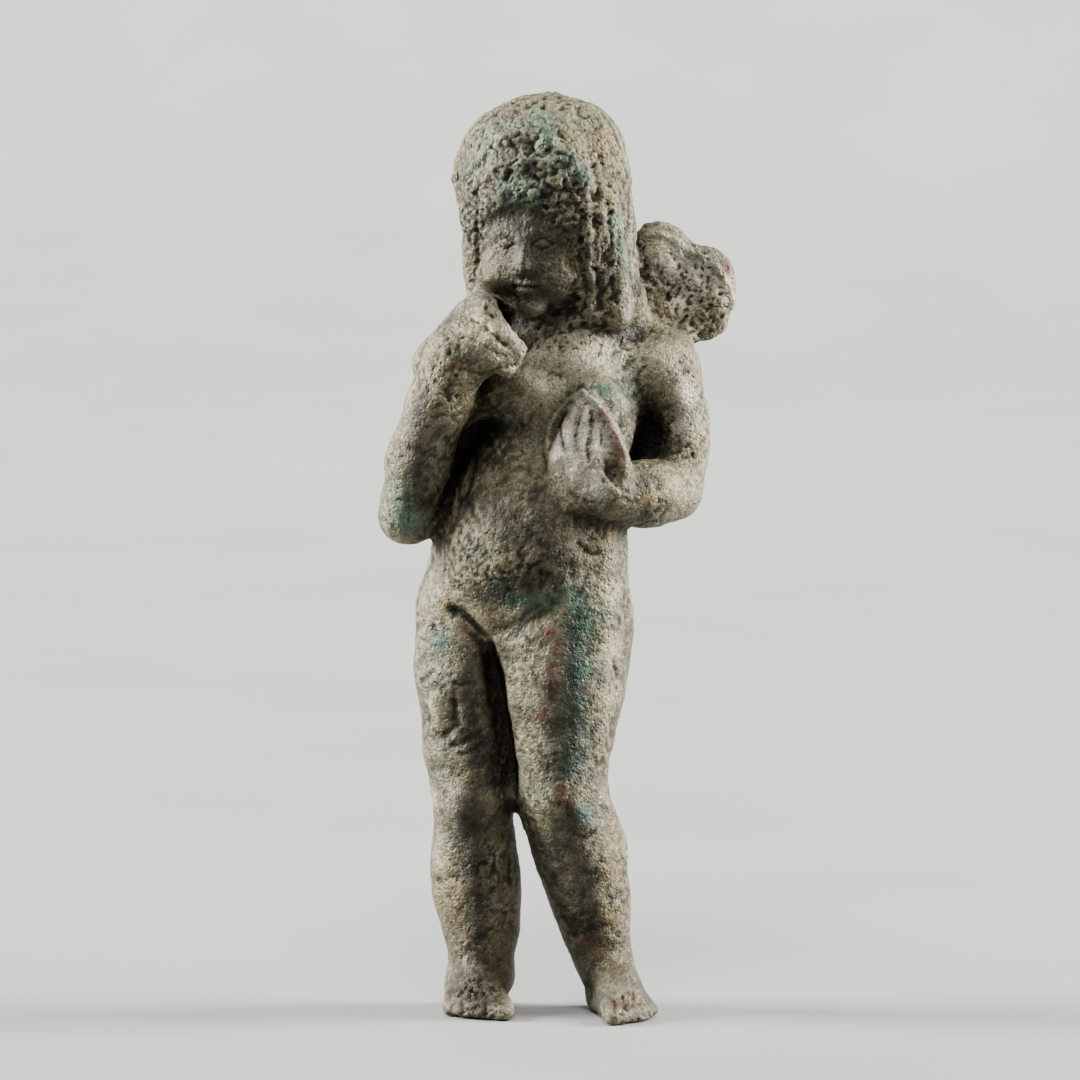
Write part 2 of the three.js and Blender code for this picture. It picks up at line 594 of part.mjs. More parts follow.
// Closes up edges until only so many triangles are left. The skin stays closed, and no triangle turns over.
function simplify({ positions, triangles }, wanted) {
  const vertexCount = positions.length / 3;
  const facesAt = Array.from({ length: vertexCount }, () => []);
  const quadrics = new Float64Array(vertexCount * 10);
  const stamps = new Uint32Array(vertexCount);
  const removed = new Uint8Array(triangles.length / 3);
  const cornersOf = (face) => triangles.slice(face * 3, face * 3 + 3);
  const place = (v) => positions.slice(v * 3, v * 3 + 3);

  // A triangle's normal, as long as twice its area.
  const normalOf = (p, q, r) => {
    const [ux, uy, uz, vx, vy, vz] = [q[0] - p[0], q[1] - p[1], q[2] - p[2], r[0] - p[0], r[1] - p[1], r[2] - p[2]];
    return [uy * vz - uz * vy, uz * vx - ux * vz, ux * vy - uy * vx];
  };

  for (let face = 0; face < removed.length; face++) {
    const corners = cornersOf(face);
    const points = corners.map(place);
    const normal = normalOf(...points);
    const length = Math.hypot(...normal) || 1;
    const [a, b, c] = normal.map((part) => part / length);
    const d = -(a * points[0][0] + b * points[0][1] + c * points[0][2]);
    for (const v of corners) {
      facesAt[v].push(face);
      addPlane(quadrics, v, [a, b, c, d], length / 6);
    }
  }

  const neighboursOf = (v) => {
    const found = new Set();
    for (const face of facesAt[v]) for (const n of cornersOf(face)) if (n !== v) found.add(n);
    return found;
  };

  const heap = new Heap();
  const evenness = 2e-5;
  const offer = (a, b) => {
    const joined = new Array(10);
    for (let n = 0; n < 10; n++) joined[n] = quadrics[a * 10 + n] + quadrics[b * 10 + n];
    const [p, q] = [place(a), place(b)];
    const middle = p.map((value, axis) => (value + q[axis]) / 2);
    const span = Math.hypot(p[0] - q[0], p[1] - q[1], p[2] - q[2]);
    let at = leastErrorPoint(joined);
    if (!at || Math.hypot(at[0] - middle[0], at[1] - middle[1], at[2] - middle[2]) > span) at = middle;
    const cost = Math.max(quadricError(joined, ...at), 0) + evenness * span ** 4;
    heap.push({ cost, a, b, at, stampA: stamps[a], stampB: stamps[b] });
  };

  const turnsOver = (v, other, at) => {
    const leastCosine = 0.35;
    for (const face of facesAt[v]) {
      const corners = cornersOf(face);
      if (corners.includes(other)) continue;
      const before = normalOf(...corners.map(place));
      const after = normalOf(...corners.map((corner) => (corner === v ? at : place(corner))));
      const product = before[0] * after[0] + before[1] * after[1] + before[2] * after[2];
      if (product <= leastCosine * Math.hypot(...before) * Math.hypot(...after)) return true;
    }
    return false;
  };

  for (let face = 0; face < removed.length; face++) {
    const [a, b, c] = cornersOf(face);
    for (const [from, to] of [[a, b], [b, c], [c, a]]) if (from < to) offer(from, to);
  }

  let left = removed.length;
  while (left > wanted && heap.items.length > 0) {
    const { a, b, at, stampA, stampB } = heap.pop();
    if (stamps[a] !== stampA || stamps[b] !== stampB) continue;
    const [nearA, nearB] = [neighboursOf(a), neighboursOf(b)];
    if ([...nearA].filter((n) => nearB.has(n)).length !== 2) continue;
    if (turnsOver(a, b, at) || turnsOver(b, a, at)) continue;
    for (const face of facesAt[b]) {
      const corners = cornersOf(face);
      if (corners.includes(a)) {
        removed[face] = 1;
        left--;
        for (const v of corners) if (v !== b) facesAt[v] = facesAt[v].filter((kept) => kept !== face);
      } else {
        triangles[face * 3 + corners.indexOf(b)] = a;
        facesAt[a].push(face);
      }
    }
    facesAt[b] = [];
    stamps[a]++;
    stamps[b]++;
    at.forEach((value, axis) => (positions[a * 3 + axis] = value));
    for (let n = 0; n < 10; n++) quadrics[a * 10 + n] += quadrics[b * 10 + n];
    for (const n of neighboursOf(a)) offer(a, n);
  }

  const kept = [];
  for (let face = 0; face < removed.length; face++) if (!removed[face]) kept.push(...cornersOf(face));
  return { positions, triangles: kept };
}

// From the skin to the finished solid

function geometryOf({ positions, triangles }) {
  const newIndex = new Map();
  const corners = triangles.map((v) => {
    if (!newIndex.has(v)) newIndex.set(v, newIndex.size);
    return newIndex.get(v);
  });
  const points = new Float32Array(newIndex.size * 3);
  for (const [v, index] of newIndex) {
    for (let axis = 0; axis < 3; axis++) points[index * 3 + axis] = positions[v * 3 + axis] * UNIT;
  }
  return new THREE.BufferGeometry()
    .setAttribute("position", new THREE.BufferAttribute(points, 3))
    .setIndex(corners);
}

const wasm = await Module();
wasm.setup();

function solidOf(geometry) {
  const bare = geometry.clone().deleteAttribute("normal").deleteAttribute("uv");
  const merged = mergeVertices(bare, 1e-4);
  const vertProperties = merged.getAttribute("position").array;
  return new wasm.Manifold(new wasm.Mesh({ numProp: 3, vertProperties, triVerts: new Uint32Array(merged.index.array) }));
}

function geometryFrom(solid) {
  const { vertProperties, triVerts } = solid.getMesh();
  return new THREE.BufferGeometry()
    .setAttribute("position", new THREE.BufferAttribute(vertProperties, 3))
    .setIndex(new THREE.BufferAttribute(triVerts, 1));
}

// Cuts the feet off flat, so that both soles lie in the plane that the figure stands on.
function standing(geometry) {
  const room = 2 * FIGURE_HEIGHT;
  const above = new THREE.BoxGeometry(room, room, room).translate(0, 0, room / 2);
  return geometryFrom(solidOf(geometry).intersect(solidOf(above)));
}

// Puts the origin under the middle of the bounding box.
function centred(geometry) {
  geometry.computeBoundingBox();
  const middle = geometry.boundingBox.getCenter(new THREE.Vector3());
  return geometry.translate(-middle.x, -middle.y, 0);
}

function bronze() {
  return new THREE.MeshStandardMaterial({ name: "corroded_bronze", ...PATINA });
}

function castFigurine() {
  figure();
  const step = SURFACE_STEP / UNIT;
  const skin = settle(skinOf(new THREE.Vector3(-20, -14, -3), new THREE.Vector3(24, 14, 102), step), step);
  const cast = centred(standing(geometryOf(simplify(skin, FACET_COUNT))));
  const figurine = new THREE.Mesh(cast, bronze());
  figurine.name = "figurine";
  return figurine;
}

const group = new THREE.Group();
group.add(castFigurine());

export default group;
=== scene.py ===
import math

import bmesh
import bpy
import numpy as np
from mathutils import Matrix, Vector, noise
from mathutils.bvhtree import BVHTree


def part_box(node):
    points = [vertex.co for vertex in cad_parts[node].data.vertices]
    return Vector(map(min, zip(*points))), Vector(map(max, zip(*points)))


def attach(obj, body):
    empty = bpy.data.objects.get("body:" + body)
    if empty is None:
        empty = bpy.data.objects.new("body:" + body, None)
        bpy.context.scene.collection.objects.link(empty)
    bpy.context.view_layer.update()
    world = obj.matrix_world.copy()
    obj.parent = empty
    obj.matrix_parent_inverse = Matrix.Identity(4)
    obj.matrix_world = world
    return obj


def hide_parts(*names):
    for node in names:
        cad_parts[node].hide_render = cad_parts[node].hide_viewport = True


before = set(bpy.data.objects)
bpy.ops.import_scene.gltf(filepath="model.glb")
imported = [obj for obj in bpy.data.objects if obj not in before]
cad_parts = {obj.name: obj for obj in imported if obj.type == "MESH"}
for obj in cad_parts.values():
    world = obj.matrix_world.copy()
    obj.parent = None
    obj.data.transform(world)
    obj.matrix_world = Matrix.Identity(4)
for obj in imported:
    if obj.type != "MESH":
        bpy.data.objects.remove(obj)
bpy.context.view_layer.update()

# Lengths are in millimetres, and Blender's own unit is the metre.
MM = 0.001
LOW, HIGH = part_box("figurine")
TALL = (HIGH.z - LOW.z) / MM
UNIT = TALL / 100

# The camera stands in front of the figure and a little above it.
VIEW_TARGET = Vector((-1.29, 0, 35.13))
VIEW_DISTANCE = 480
VIEW_RISE = math.radians(6)
SENSOR_WIDTH = 36
LENS_LENGTH = 217.07
EYE = VIEW_TARGET + VIEW_DISTANCE * Vector((0, -math.cos(VIEW_RISE), math.sin(VIEW_RISE)))

# The head's own frame: turned to the figure's right and bent a little forward.
HEAD_ORIGIN = Vector((-1.22, 0.2, 0.872 * TALL))
HEAD_TURN = Matrix.Rotation(math.radians(-17), 4, "Z") @ Matrix.Rotation(math.radians(5), 4, "X")
HEAD = Matrix.Translation(HEAD_ORIGIN) @ HEAD_TURN

# How fine the surface is, how closely points are welded and how often it is evened out.
SKIN_STEP = 0.276
WELD_DISTANCE = 0.001
EVENING_ROUNDS = 5

# The places of the small forms, each a centre and a radius, get a finer surface.
FINE_PLACES = [
    (HEAD @ Vector((0, -4.0, 1.0)), 7.0),
    (Vector((2.2, -6.0, 42.0)), 4.6),
    (Vector((-5.0, -5.5, 50.0)), 3.6),
    (Vector((9.5, 2.0, 54.0)), 4.5),
    (Vector((5.0, -4.0, 1.5)), 3.0),
    (Vector((-6.0, -3.5, 1.5)), 3.0),
]


# Reading and evening out a mesh

def read(items, name, width, kind=float):
    """One attribute of all items, in rows of the given width."""
    values = np.empty(len(items) * width, dtype=kind)
    items.foreach_get(name, values)
    return values.reshape(-1, width)


def evened(values, edges, rounds):
    """Values drawn halfway to the mean of their neighbours along the edges, a number of rounds."""
    share = 0.5
    first, last = edges.T
    count = len(values)
    tally = np.bincount(first, minlength=count) + np.bincount(last, minlength=count)
    out = values.copy()
    for _ in range(rounds):
        for axis in range(out.shape[1]):
            own = out[:, axis]
            total = np.bincount(first, own[last], count) + np.bincount(last, own[first], count)
            out[:, axis] = own + share * (total / tally - own)
    return out


def step_between(values, start, end):
    """0 below start and 1 above end, with a soft step between them."""
    t = np.clip((values - start) / (end - start), 0, 1)
    return t * t * (3 - 2 * t)


# Each seed moves a pattern on by these shares of its spacing.
LUMP_SHIFT = np.array([17.3, 5.1, 11.7])
CELL_SHIFT = np.array([7.9, 3.7, 13.1])

# How fast the finer octaves of the lumps fade, and how much finer each is than the one before.
OCTAVE_FADE = 0.7
OCTAVE_STEP = 2.0


def lumps(points, size, seed, octaves=1):
    """Smooth lumps in about -1 to 1, as far apart as size."""
    rows = (points / size + seed * LUMP_SHIFT).tolist()
    kind = "PERLIN_NEW"
    values = [noise.fractal(row, OCTAVE_FADE, OCTAVE_STEP, octaves, noise_basis=kind) for row in rows]
    return np.array(values)


def cells(points, size, seed):
    """Distance to the nearest of some scattered centres, as a share of their spacing."""
    rows = (points / size + seed * CELL_SHIFT).tolist()
    return np.array([noise.voronoi(row)[0][0] for row in rows])


# Points along a stroke are at most this far apart, and at most this share of its width.
PATH_SPACING = 0.2
PATH_SHARE = 0.5

# A stroke has faded out at this many widths from its middle.
STROKE_REACH = 2.4


def smooth_path(points, spacing):
    """Points every spacing along a smooth curve through the given ones."""
    stations = np.array([points[0], *points, points[-1]], dtype=float)
    path = []
    for before, start, end, after in zip(stations, stations[1:], stations[2:], stations[3:]):
        count = max(1, math.ceil(np.linalg.norm(end - start) / spacing))
        for t in np.arange(count) / count:
            bend = 2 * before - 5 * start + 4 * end - after
            twist = 3 * start - before - 3 * end + after
            path.append(start + 0.5 * t * ((end - before) + t * (bend + t * twist)))
    path.append(stations[-1])
    return path


class Skin:
    """The surface being worked: its points, normals, edges and faces.

    The relief is what is to be raised along the normals, and the marks are what the material reads.
    """

    def __init__(self, mesh):
        self.mesh = mesh
        self.points = read(mesh.vertices, "co", 3)
        self.edges = read(mesh.edges, "vertices", 2, int)
        self.faces = [tuple(face.vertices) for face in mesh.polygons]
        self.relief = np.zeros(len(self.points))
        self.marks = {}
        self.refresh()

    def refresh(self):
        """Brings the mesh, the normals and the tree for ray casts up to date."""
        self.mesh.vertices.foreach_set("co", self.points.ravel())
        self.mesh.update()
        self.normals = read(self.mesh.vertices, "normal", 3)
        self.tree = BVHTree.FromPolygons(self.points.tolist(), self.faces)

    def raise_relief(self):
        """Moves the surface by its relief and keeps the soles on the ground."""
        self.points = self.points + self.normals * self.relief[:, None]
        self.points[:, 2] = np.maximum(self.points[:, 2], 0)
        self.relief[:] = 0
        self.refresh()

    def seen(self, x, z):
        """The surface as the camera sees it at (x, z) of the upright plane through the origin."""
        return self.tree.ray_cast(EYE, (Vector((x, 0, z)) - EYE).normalized())[:2]

    def behind(self, x, z):
        """The surface as it is met from straight behind."""
        return self.tree.ray_cast(Vector((x, TALL, z)), Vector((0, -1, 0)))[:2]

    def before_head(self, x, z):
        """The surface as it is met in the head's own frame from its front, x and z in units."""
        start = HEAD @ Vector((x * UNIT, -TALL / 2, z * UNIT))
        return self.tree.ray_cast(start, HEAD_TURN @ Vector((0, 1, 0)))[:2]

    def nearness(self, points, width, cast):
        """1 along a curve laid on the surface, fading over its width.

        Only the surface that faces the same way as the curve counts.
        """
        spacing = min(PATH_SPACING, PATH_SHARE * width)
        hits = [cast(x, z) for x, z in smooth_path(points, spacing)]
        hits = [hit for hit in hits if hit[0] is not None]
        share = np.zeros(len(self.points))
        if not hits:
            return share
        places = np.array([place for place, _ in hits])
        facings = np.array([facing for _, facing in hits])
        reach = STROKE_REACH * width
        inside = (self.points > places.min(0) - reach) & (self.points < places.max(0) + reach)
        near = np.flatnonzero(inside.all(1))
        gaps = ((self.points[near, None] - places[None]) ** 2).sum(2)
        nearest = gaps.argmin(1)
        alike = np.clip(2 * (self.normals[near] * facings[nearest]).sum(1), 0, 1)
        share[near] = np.exp(-gaps.min(1) / width**2) * alike
        return share

    def draw(self, points, width, height, cast=None):
        """Raises a ridge along a curve, or cuts a groove where the height is negative."""
        self.relief += height * self.nearness(points, width, cast or self.seen)

    def draw_all(self, strokes, cast=None):
        """Draws strokes of (points, width, height)."""
        for points, width, height in strokes:
            self.draw(points, width, height, cast)

    def mark(self, name, spots, cast=None):
        """Marks round spots of (x, z, radius) for the material."""
        total = self.marks.setdefault(name, np.zeros(len(self.points)))
        for x, z, radius in spots:
            np.maximum(total, self.nearness([(x, z)], radius, cast or self.seen), out=total)

    def streak(self, name, points, width):
        """Marks a band along a curve on the front for the material."""
        total = self.marks.setdefault(name, np.zeros(len(self.points)))
        np.maximum(total, self.nearness(points, width, self.seen), out=total)


# From the CAD solid to a fine, even surface

def smooth_copy(node):
    """A copy of a node's mesh in millimetres, rounded over its facets and remeshed evenly."""
    mesh = node.data.copy()
    mesh.transform(Matrix.Scale(1 / MM, 4))
    shape = bmesh.new()
    shape.from_mesh(mesh)
    bmesh.ops.remove_doubles(shape, verts=shape.verts, dist=WELD_DISTANCE)
    shape.to_mesh(mesh)
    shape.free()
    holder = bpy.data.objects.new("rough_cast", mesh)
    bpy.context.scene.collection.objects.link(holder)
    holder.modifiers.new("round", "SUBSURF").levels = 1
    remesh = holder.modifiers.new("even", "REMESH")
    remesh.mode = "VOXEL"
    remesh.voxel_size = SKIN_STEP
    evaluated = holder.evaluated_get(bpy.context.evaluated_depsgraph_get())
    fine = bpy.data.meshes.new_from_object(evaluated)
    bpy.data.objects.remove(holder)
    bpy.data.meshes.remove(mesh)
    return fine


def refined(mesh):
    """Splits the faces in the places that carry small forms."""
    shape = bmesh.new()
    shape.from_mesh(mesh)

    def is_fine(vertex):
        """Whether a point lies in one of the fine places."""
        return any((vertex.co - centre).length < radius for centre, radius in FINE_PLACES)

    chosen = {vertex for vertex in shape.verts if is_fine(vertex)}
    edges = [edge for edge in shape.edges if edge.verts[0] in chosen and edge.verts[1] in chosen]
    bmesh.ops.subdivide_edges(shape, edges=edges, cuts=1, use_grid_fill=True)
    shape.to_mesh(mesh)
    shape.free()
    mesh.validate()
    return mesh


def rounded(mesh):
    """The same mesh with its small steps evened out."""
    points = read(mesh.vertices, "co", 3)
    edges = read(mesh.edges, "vertices", 2, int)
    mesh.vertices.foreach_set("co", evened(points, edges, EVENING_ROUNDS).ravel())
    mesh.update()
    return mesh


# Carved forms

# Each stroke is a row of points (x, z), laid on the surface along the line of sight, with a width
# and a height. A negative height cuts a groove.

def carve_trunk_and_legs(skin):
    """Folds of the groin, the thighs, the knees and the waist, and old scratches."""
    folds = [
        ([(-7.2, 29.2), (-6.4, 28.6), (-5.4, 27.8)], 0.3, 0.16),
        ([(-7.9, 30.1), (-7.6, 29.8)], 0.25, -0.16),
        ([(-4.4, 27.8), (-3.4, 28.5), (-2.2, 29.4), (-0.8, 30.4)], 0.3, 0.1),
        ([(-3.4, 29.3), (-1.6, 30.6), (0.6, 31.0)], 0.6, 0.08),
        ([(-4.9, 27.3), (-4.5, 25.1), (-4.0, 22.9), (-3.5, 19.9), (-3.1, 16.2)], 0.25, -0.2),
        ([(1.5, 35.0), (2.4, 34.2), (3.0, 34.1)], 0.16, -0.16),
        ([(4.0, 26.2), (4.5, 25.2)], 0.3, -0.16),
        ([(-9.2, 28.8), (-9.0, 28.2)], 0.2, -0.16),
        ([(-10.1, 24.6), (-9.2, 25.5)], 0.2, -0.14),
        ([(-8.9, 23.3), (-8.8, 21.6)], 0.65, 0.32),
        ([(-7.8, 19.8), (-7.0, 20.0), (-5.8, 20.8)], 0.3, -0.17),
        ([(-7.2, 19.3), (-6.4, 19.5), (-5.4, 20.0)], 0.24, -0.14),
        ([(-7.7, 23.2), (-7.6, 21.6), (-8.3, 20.6)], 0.3, -0.17),
        ([(-8.8, 9.8), (-7.0, 10.1)], 0.25, -0.12),
        ([(-7.4, 16.0), (-7.2, 13.8)], 0.7, 0.14),
        ([(1.4, 15.4), (1.7, 14.2), (2.3, 14.0)], 0.5, 0.16),
        ([(1.0, 13.5), (1.9, 12.9), (2.8, 13.4)], 0.2, -0.09),
        ([(-9.4, 16.2), (-9.5, 14.4)], 0.8, 0.14),
        ([(-8.6, 12.6), (-8.7, 10.8)], 0.9, 0.12),
        ([(-6.0, 11.8), (-5.8, 9.4)], 0.9, 0.12),
        ([(4.2, 16.5), (4.9, 14.2), (5.0, 11.8)], 0.8, 0.16),
        ([(1.2, 5.6), (2.6, 6.0), (3.6, 6.4)], 0.2, -0.09),
        ([(-6.0, 41.3), (-6.5, 39.1), (-7.4, 37.6)], 0.25, -0.22),
        ([(2.7, 51.0), (3.6, 50.9)], 0.14, -0.16),
        ([(5.1, 51.0), (6.2, 50.6)], 0.14, -0.16),
        ([(6.8, 40.0), (7.5, 38.9)], 0.16, -0.12),
    ]
    skin.draw_all(folds)
    # The flat band down the side of the left thigh stands a little proud of the front.
    band = [(3.6, 34.8), (3.8, 31.0), (3.6, 27.0), (3.4, 23.0), (3.2, 20.0)]
    skin.draw(band, 1.1, 0.16)


def carve_back(skin):
    """The spine, the cleft and the hollows of the knees."""
    folds = [
        ([(-0.6, 48), (-0.9, 42), (-1.6, 36), (-2.2, 32)], 0.55, -0.14),
        ([(-2.4, 30.6), (-2.6, 27.6), (-2.8, 25.6)], 0.35, -0.26),
        ([(-6.4, 25.2), (-4.6, 24.6), (-3.2, 25.2)], 0.45, -0.12),
        ([(2.4, 25.0), (0.6, 24.4), (-1.8, 25.2)], 0.45, -0.12),
        ([(-7.4, 17.0), (-5.8, 16.7), (-4.8, 17.1)], 0.6, -0.09),
        ([(-0.8, 16.6), (0.4, 16.3), (1.8, 16.8)], 0.6, -0.09),
    ]
    skin.draw_all(folds, skin.behind)


def carve_hands(skin):
    """The worn right hand's knuckles and the left hand's open palm with its finger lines."""
    strokes = [
        ([(1.8, 46.1), (0.6, 45.3), (-0.3, 44.0), (-0.7, 42.6), (-0.7, 41.2)], 0.22, 0.16),
        ([(1.8, 46.1), (2.6, 45.5), (3.5, 44.4), (4.2, 43.1), (5.0, 41.6)], 0.24, 0.2),
        ([(2.0, 45.2), (1.6, 44.0), (1.3, 42.8)], 0.2, -0.11),
        ([(2.5, 44.6), (2.5, 43.4), (2.2, 42.2), (2.3, 41.0)], 0.2, -0.11),
        ([(0.5, 44.4), (0.2, 43.2), (0.4, 42.2)], 0.18, -0.15),
        ([(3.2, 43.3), (3.2, 42.2)], 0.2, -0.11),
        ([(3.5, 41.1), (3.8, 40.0)], 0.22, -0.1),
        ([(3.3, 40.0), (3.9, 39.2), (4.5, 38.6)], 0.18, 0.2),
        ([(1.0, 38.6), (2.2, 38.0), (3.2, 37.9)], 0.2, -0.1),
        ([(-5.2, 52.6), (-4.0, 51.5), (-3.4, 50.2), (-2.8, 48.9)], 0.3, 0.1),
        ([(-6.2, 51.4), (-5.0, 50.6), (-4.0, 49.6)], 0.18, -0.14),
        ([(-6.6, 50.2), (-5.4, 49.5), (-4.2, 48.8)], 0.18, -0.12),
        ([(-7.2, 51.2), (-6.6, 50.4)], 0.5, 0.12),
        ([(-7.6, 47.9), (-5.7, 47.4), (-4.2, 47.8), (-2.8, 48.1)], 0.2, -0.12),
    ]
    skin.draw_all(strokes)


def carve_wing(skin):
    """The wing's worn rim, its pitted hollow and the feathers' lines behind."""
    rim = [
        (6.4, 57.5), (7.4, 57.7), (8.7, 57.2), (9.8, 56.4),
        (11.0, 55.8), (12.0, 54.9), (12.7, 53.6), (12.8, 52.2),
    ]
    strokes = [
        (rim, 0.32, 0.2),
        ([(8.4, 56.2), (9.4, 54.2), (9.6, 52.4)], 0.3, -0.14),
        ([(10.4, 55.2), (11.2, 53.6), (11.2, 52.0)], 0.3, -0.14),
    ]
    skin.draw_all(strokes)
    pits = [
        (5.7, 53.6), (6.3, 54.8), (7.6, 54.9), (8.0, 53.1),
        (8.9, 53.2), (9.6, 55.1), (10.5, 52.6), (11.5, 51.4),
    ]
    for pit in pits:
        skin.draw([pit], 0.42, -0.18)
    strokes_behind = [
        ([(6.4, 55.6), (9.6, 56.2), (12.0, 55.6)], 0.26, -0.13),
        ([(6.6, 53.6), (10.0, 53.6), (12.6, 53.0)], 0.26, -0.13),
    ]
    skin.draw_all(strokes_behind, skin.behind)
    feathers = 7
    for n in range(feathers):
        x = 6.6 + 0.9 * n
        skin.draw([(x, 57.0 - 0.25 * n), (x + 0.8, 51.2)], 0.14, -0.07, skin.behind)


def carve_feet(skin):
    """Clefts between worn toes, and old scratches over the right foot."""
    left_clefts = [3.5, 4.3, 5.0, 5.7]
    for n, x in enumerate(left_clefts):
        rise = 0.3 * n
        skin.draw([(x, -0.5 + rise), (x - 0.1, 0.5 + rise)], 0.2, -0.12)
    right_clefts = [-8.0, -7.1, -6.2, -5.4]
    for x in right_clefts:
        skin.draw([(x, -0.3), (x + 0.1, 0.4)], 0.2, -0.08)
    scratches = 6
    for n in range(scratches):
        x = -7.9 + 0.66 * n
        skin.draw([(-6.6 + 0.12 * n, 2.3), (x, 1.0)], 0.12, -0.08)


# The face's levels follow the CAD head, in units of its own frame.
EYE_LEVEL = -2.6
NOSE_BASE = -5.5
MOUTH_LEVEL = -7.3
EYE_APART = 2.1


def carve_face(skin):
    """Lids, nostrils and lips of a calm, generic child's face."""
    for side in (-1, 1):
        middle = EYE_APART * side
        eyeball = [(middle - 0.6, EYE_LEVEL), (middle + 0.6, EYE_LEVEL)]
        upper_lid = [
            (middle - 1.05, EYE_LEVEL),
            (middle, EYE_LEVEL + 0.62),
            (middle + 1.05, EYE_LEVEL),
        ]
        lower_lid = [
            (middle - 0.95, EYE_LEVEL - 0.05),
            (middle, EYE_LEVEL - 0.5),
            (middle + 0.95, EYE_LEVEL - 0.05),
        ]
        crease = [
            (middle - 1.0, EYE_LEVEL + 0.55),
            (middle, EYE_LEVEL + 1.05),
            (middle + 1.1, EYE_LEVEL + 0.4),
        ]
        nostril = [(0.5 * side, NOSE_BASE)]
        nose_edge = [(1.05 * side, NOSE_BASE + 0.6), (0.95 * side, NOSE_BASE + 0.1)]
        mouth_corner = [(1.35 * side, MOUTH_LEVEL)]
        strokes = [
            (eyeball, 0.36, 0.09),
            (upper_lid, 0.12, -0.13),
            (lower_lid, 0.12, -0.1),
            (crease, 0.13, -0.06),
            (nostril, 0.14, -0.16),
            (nose_edge, 0.14, -0.09),
            (mouth_corner, 0.16, -0.1),
        ]
        skin.draw_all(strokes, skin.before_head)
    lip_line = [(-1.2, MOUTH_LEVEL), (0, MOUTH_LEVEL + 0.08), (1.2, MOUTH_LEVEL)]
    lip_groove = [(0, NOSE_BASE - 0.3), (0, MOUTH_LEVEL + 0.8)]
    skin.draw_all([(lip_line, 0.13, -0.17), (lip_groove, 0.16, -0.06)], skin.before_head)


# Hair

SKULL_CENTRE = Vector((0.1, 1.4, 2.4)) * UNIT

# The face's oval, in the head's own frame: half its width and height, and how low its middle lies.
FACE_HALF_WIDTH = 4.4
FACE_HALF_HEIGHT = 5.6
FACE_DROP = 3.0


def head_shares(skin):
    """Each point in the head's own frame, its turn round the skull and its distance out from the
    skull's upright middle, and how much it belongs to the hair."""
    turned = np.array(HEAD.inverted())
    own = skin.points @ turned[:3, :3].T + turned[:3, 3]
    side, depth, height = own.T
    around = np.arctan2(side - SKULL_CENTRE.x, SKULL_CENTRE.y - depth)
    out = np.hypot(side - SKULL_CENTRE.x, depth - SKULL_CENTRE.y)
    oval = np.hypot(side / FACE_HALF_WIDTH, (height + FACE_DROP) / FACE_HALF_HEIGHT)
    face_edge = step_between(oval, 0.85, 1.05)
    front = step_between(-depth, 1.2, 2.6)
    hair = 1 - front * (1 - face_edge)
    hair *= step_between(height, -9.5, -6.5) * (1 - step_between(out, 7.2, 8.2))
    # Lower down, only what hangs behind and beside the neck is hair.
    low_front = step_between(-depth, 0.0, 1.5) * (1 - step_between(height, -6.5, -4.5))
    return own, around, out, hair * (1 - low_front)


def carve_hair(skin):
    """Strands that spread from the crown and fall behind, and ringed curls in rows round the face."""
    own, around, out, hair = head_shares(skin)
    height = own[:, 2]
    strands = 30
    strand_height = 0.22
    clump_height = 0.16
    sway = 1.4 * np.sin(0.85 * height + 2.0 * np.sin(3 * around))
    sway = sway + 1.6 * lumps(skin.points, size=3.5, seed=3)
    ridge = np.abs(np.cos(0.5 * (strands * around + sway))) - 0.6
    clumps = np.cos(4 * around + 0.35 * sway)
    wear = lumps(skin.points, size=2.6, seed=4, octaves=2)
    worn = 0.25 + 0.75 * step_between(wear, -0.4, 0.6)
    from_crown = step_between(out, 0.8, 2.4)
    behind = step_between(np.abs(around), 0.75, 1.15)
    combed = strand_height * ridge * worn + clump_height * clumps
    skin.relief += combed * from_crown * hair * behind
    # Each row of curls: half its width, its height, its reach to each side in degrees, the number
    # of curls and their size.
    rows = [(6.1, 6.6, 82, 11, 1.5), (7.0, 9.2, 66, 9, 1.7), (7.4, 11.8, 52, 7, 1.7)]
    row_centre = -3.4
    ring_points = 9
    for across, up, reach, curls, size in rows:
        for n in range(curls):
            turn = math.radians((2 * n / (curls - 1) - 1) * reach)
            x = across * math.sin(turn)
            z = row_centre + up * math.cos(turn)
            depth = 0.55 + 0.45 * math.sin(5.3 * n + 2.1 * up)
            turns = [0.8 * math.tau * k / ring_points + 2 * n for k in range(ring_points)]
            ring = [(x + 0.6 * size * math.cos(a), z + 0.5 * size * math.sin(a)) for a in turns]
            skin.draw(ring, 0.17, -0.15 * depth, skin.before_head)
            skin.draw([(x, z)], 0.26, -0.14 * (1.2 - depth), skin.before_head)
    # The parted locks that hang beside the face.
    locks = [
        [(1.2, 60.2), (1.7, 58.4), (1.6, 56.4), (1.9, 54.4), (2.2, 52.8)],
        [(2.5, 60.6), (2.9, 58.2), (2.7, 56.0), (3.1, 53.6), (3.0, 52.2)],
        [(3.7, 60.0), (3.9, 57.6), (3.8, 55.2), (4.3, 52.8)],
        [(-5.9, 60.4), (-6.0, 58.4), (-5.8, 56.2), (-6.2, 54.2)],
    ]
    for lock in locks:
        skin.draw(lock, 0.24, -0.13)


# Corrosion

# Marks are round spots of (x, z, radius), laid on the surface along the line of sight.

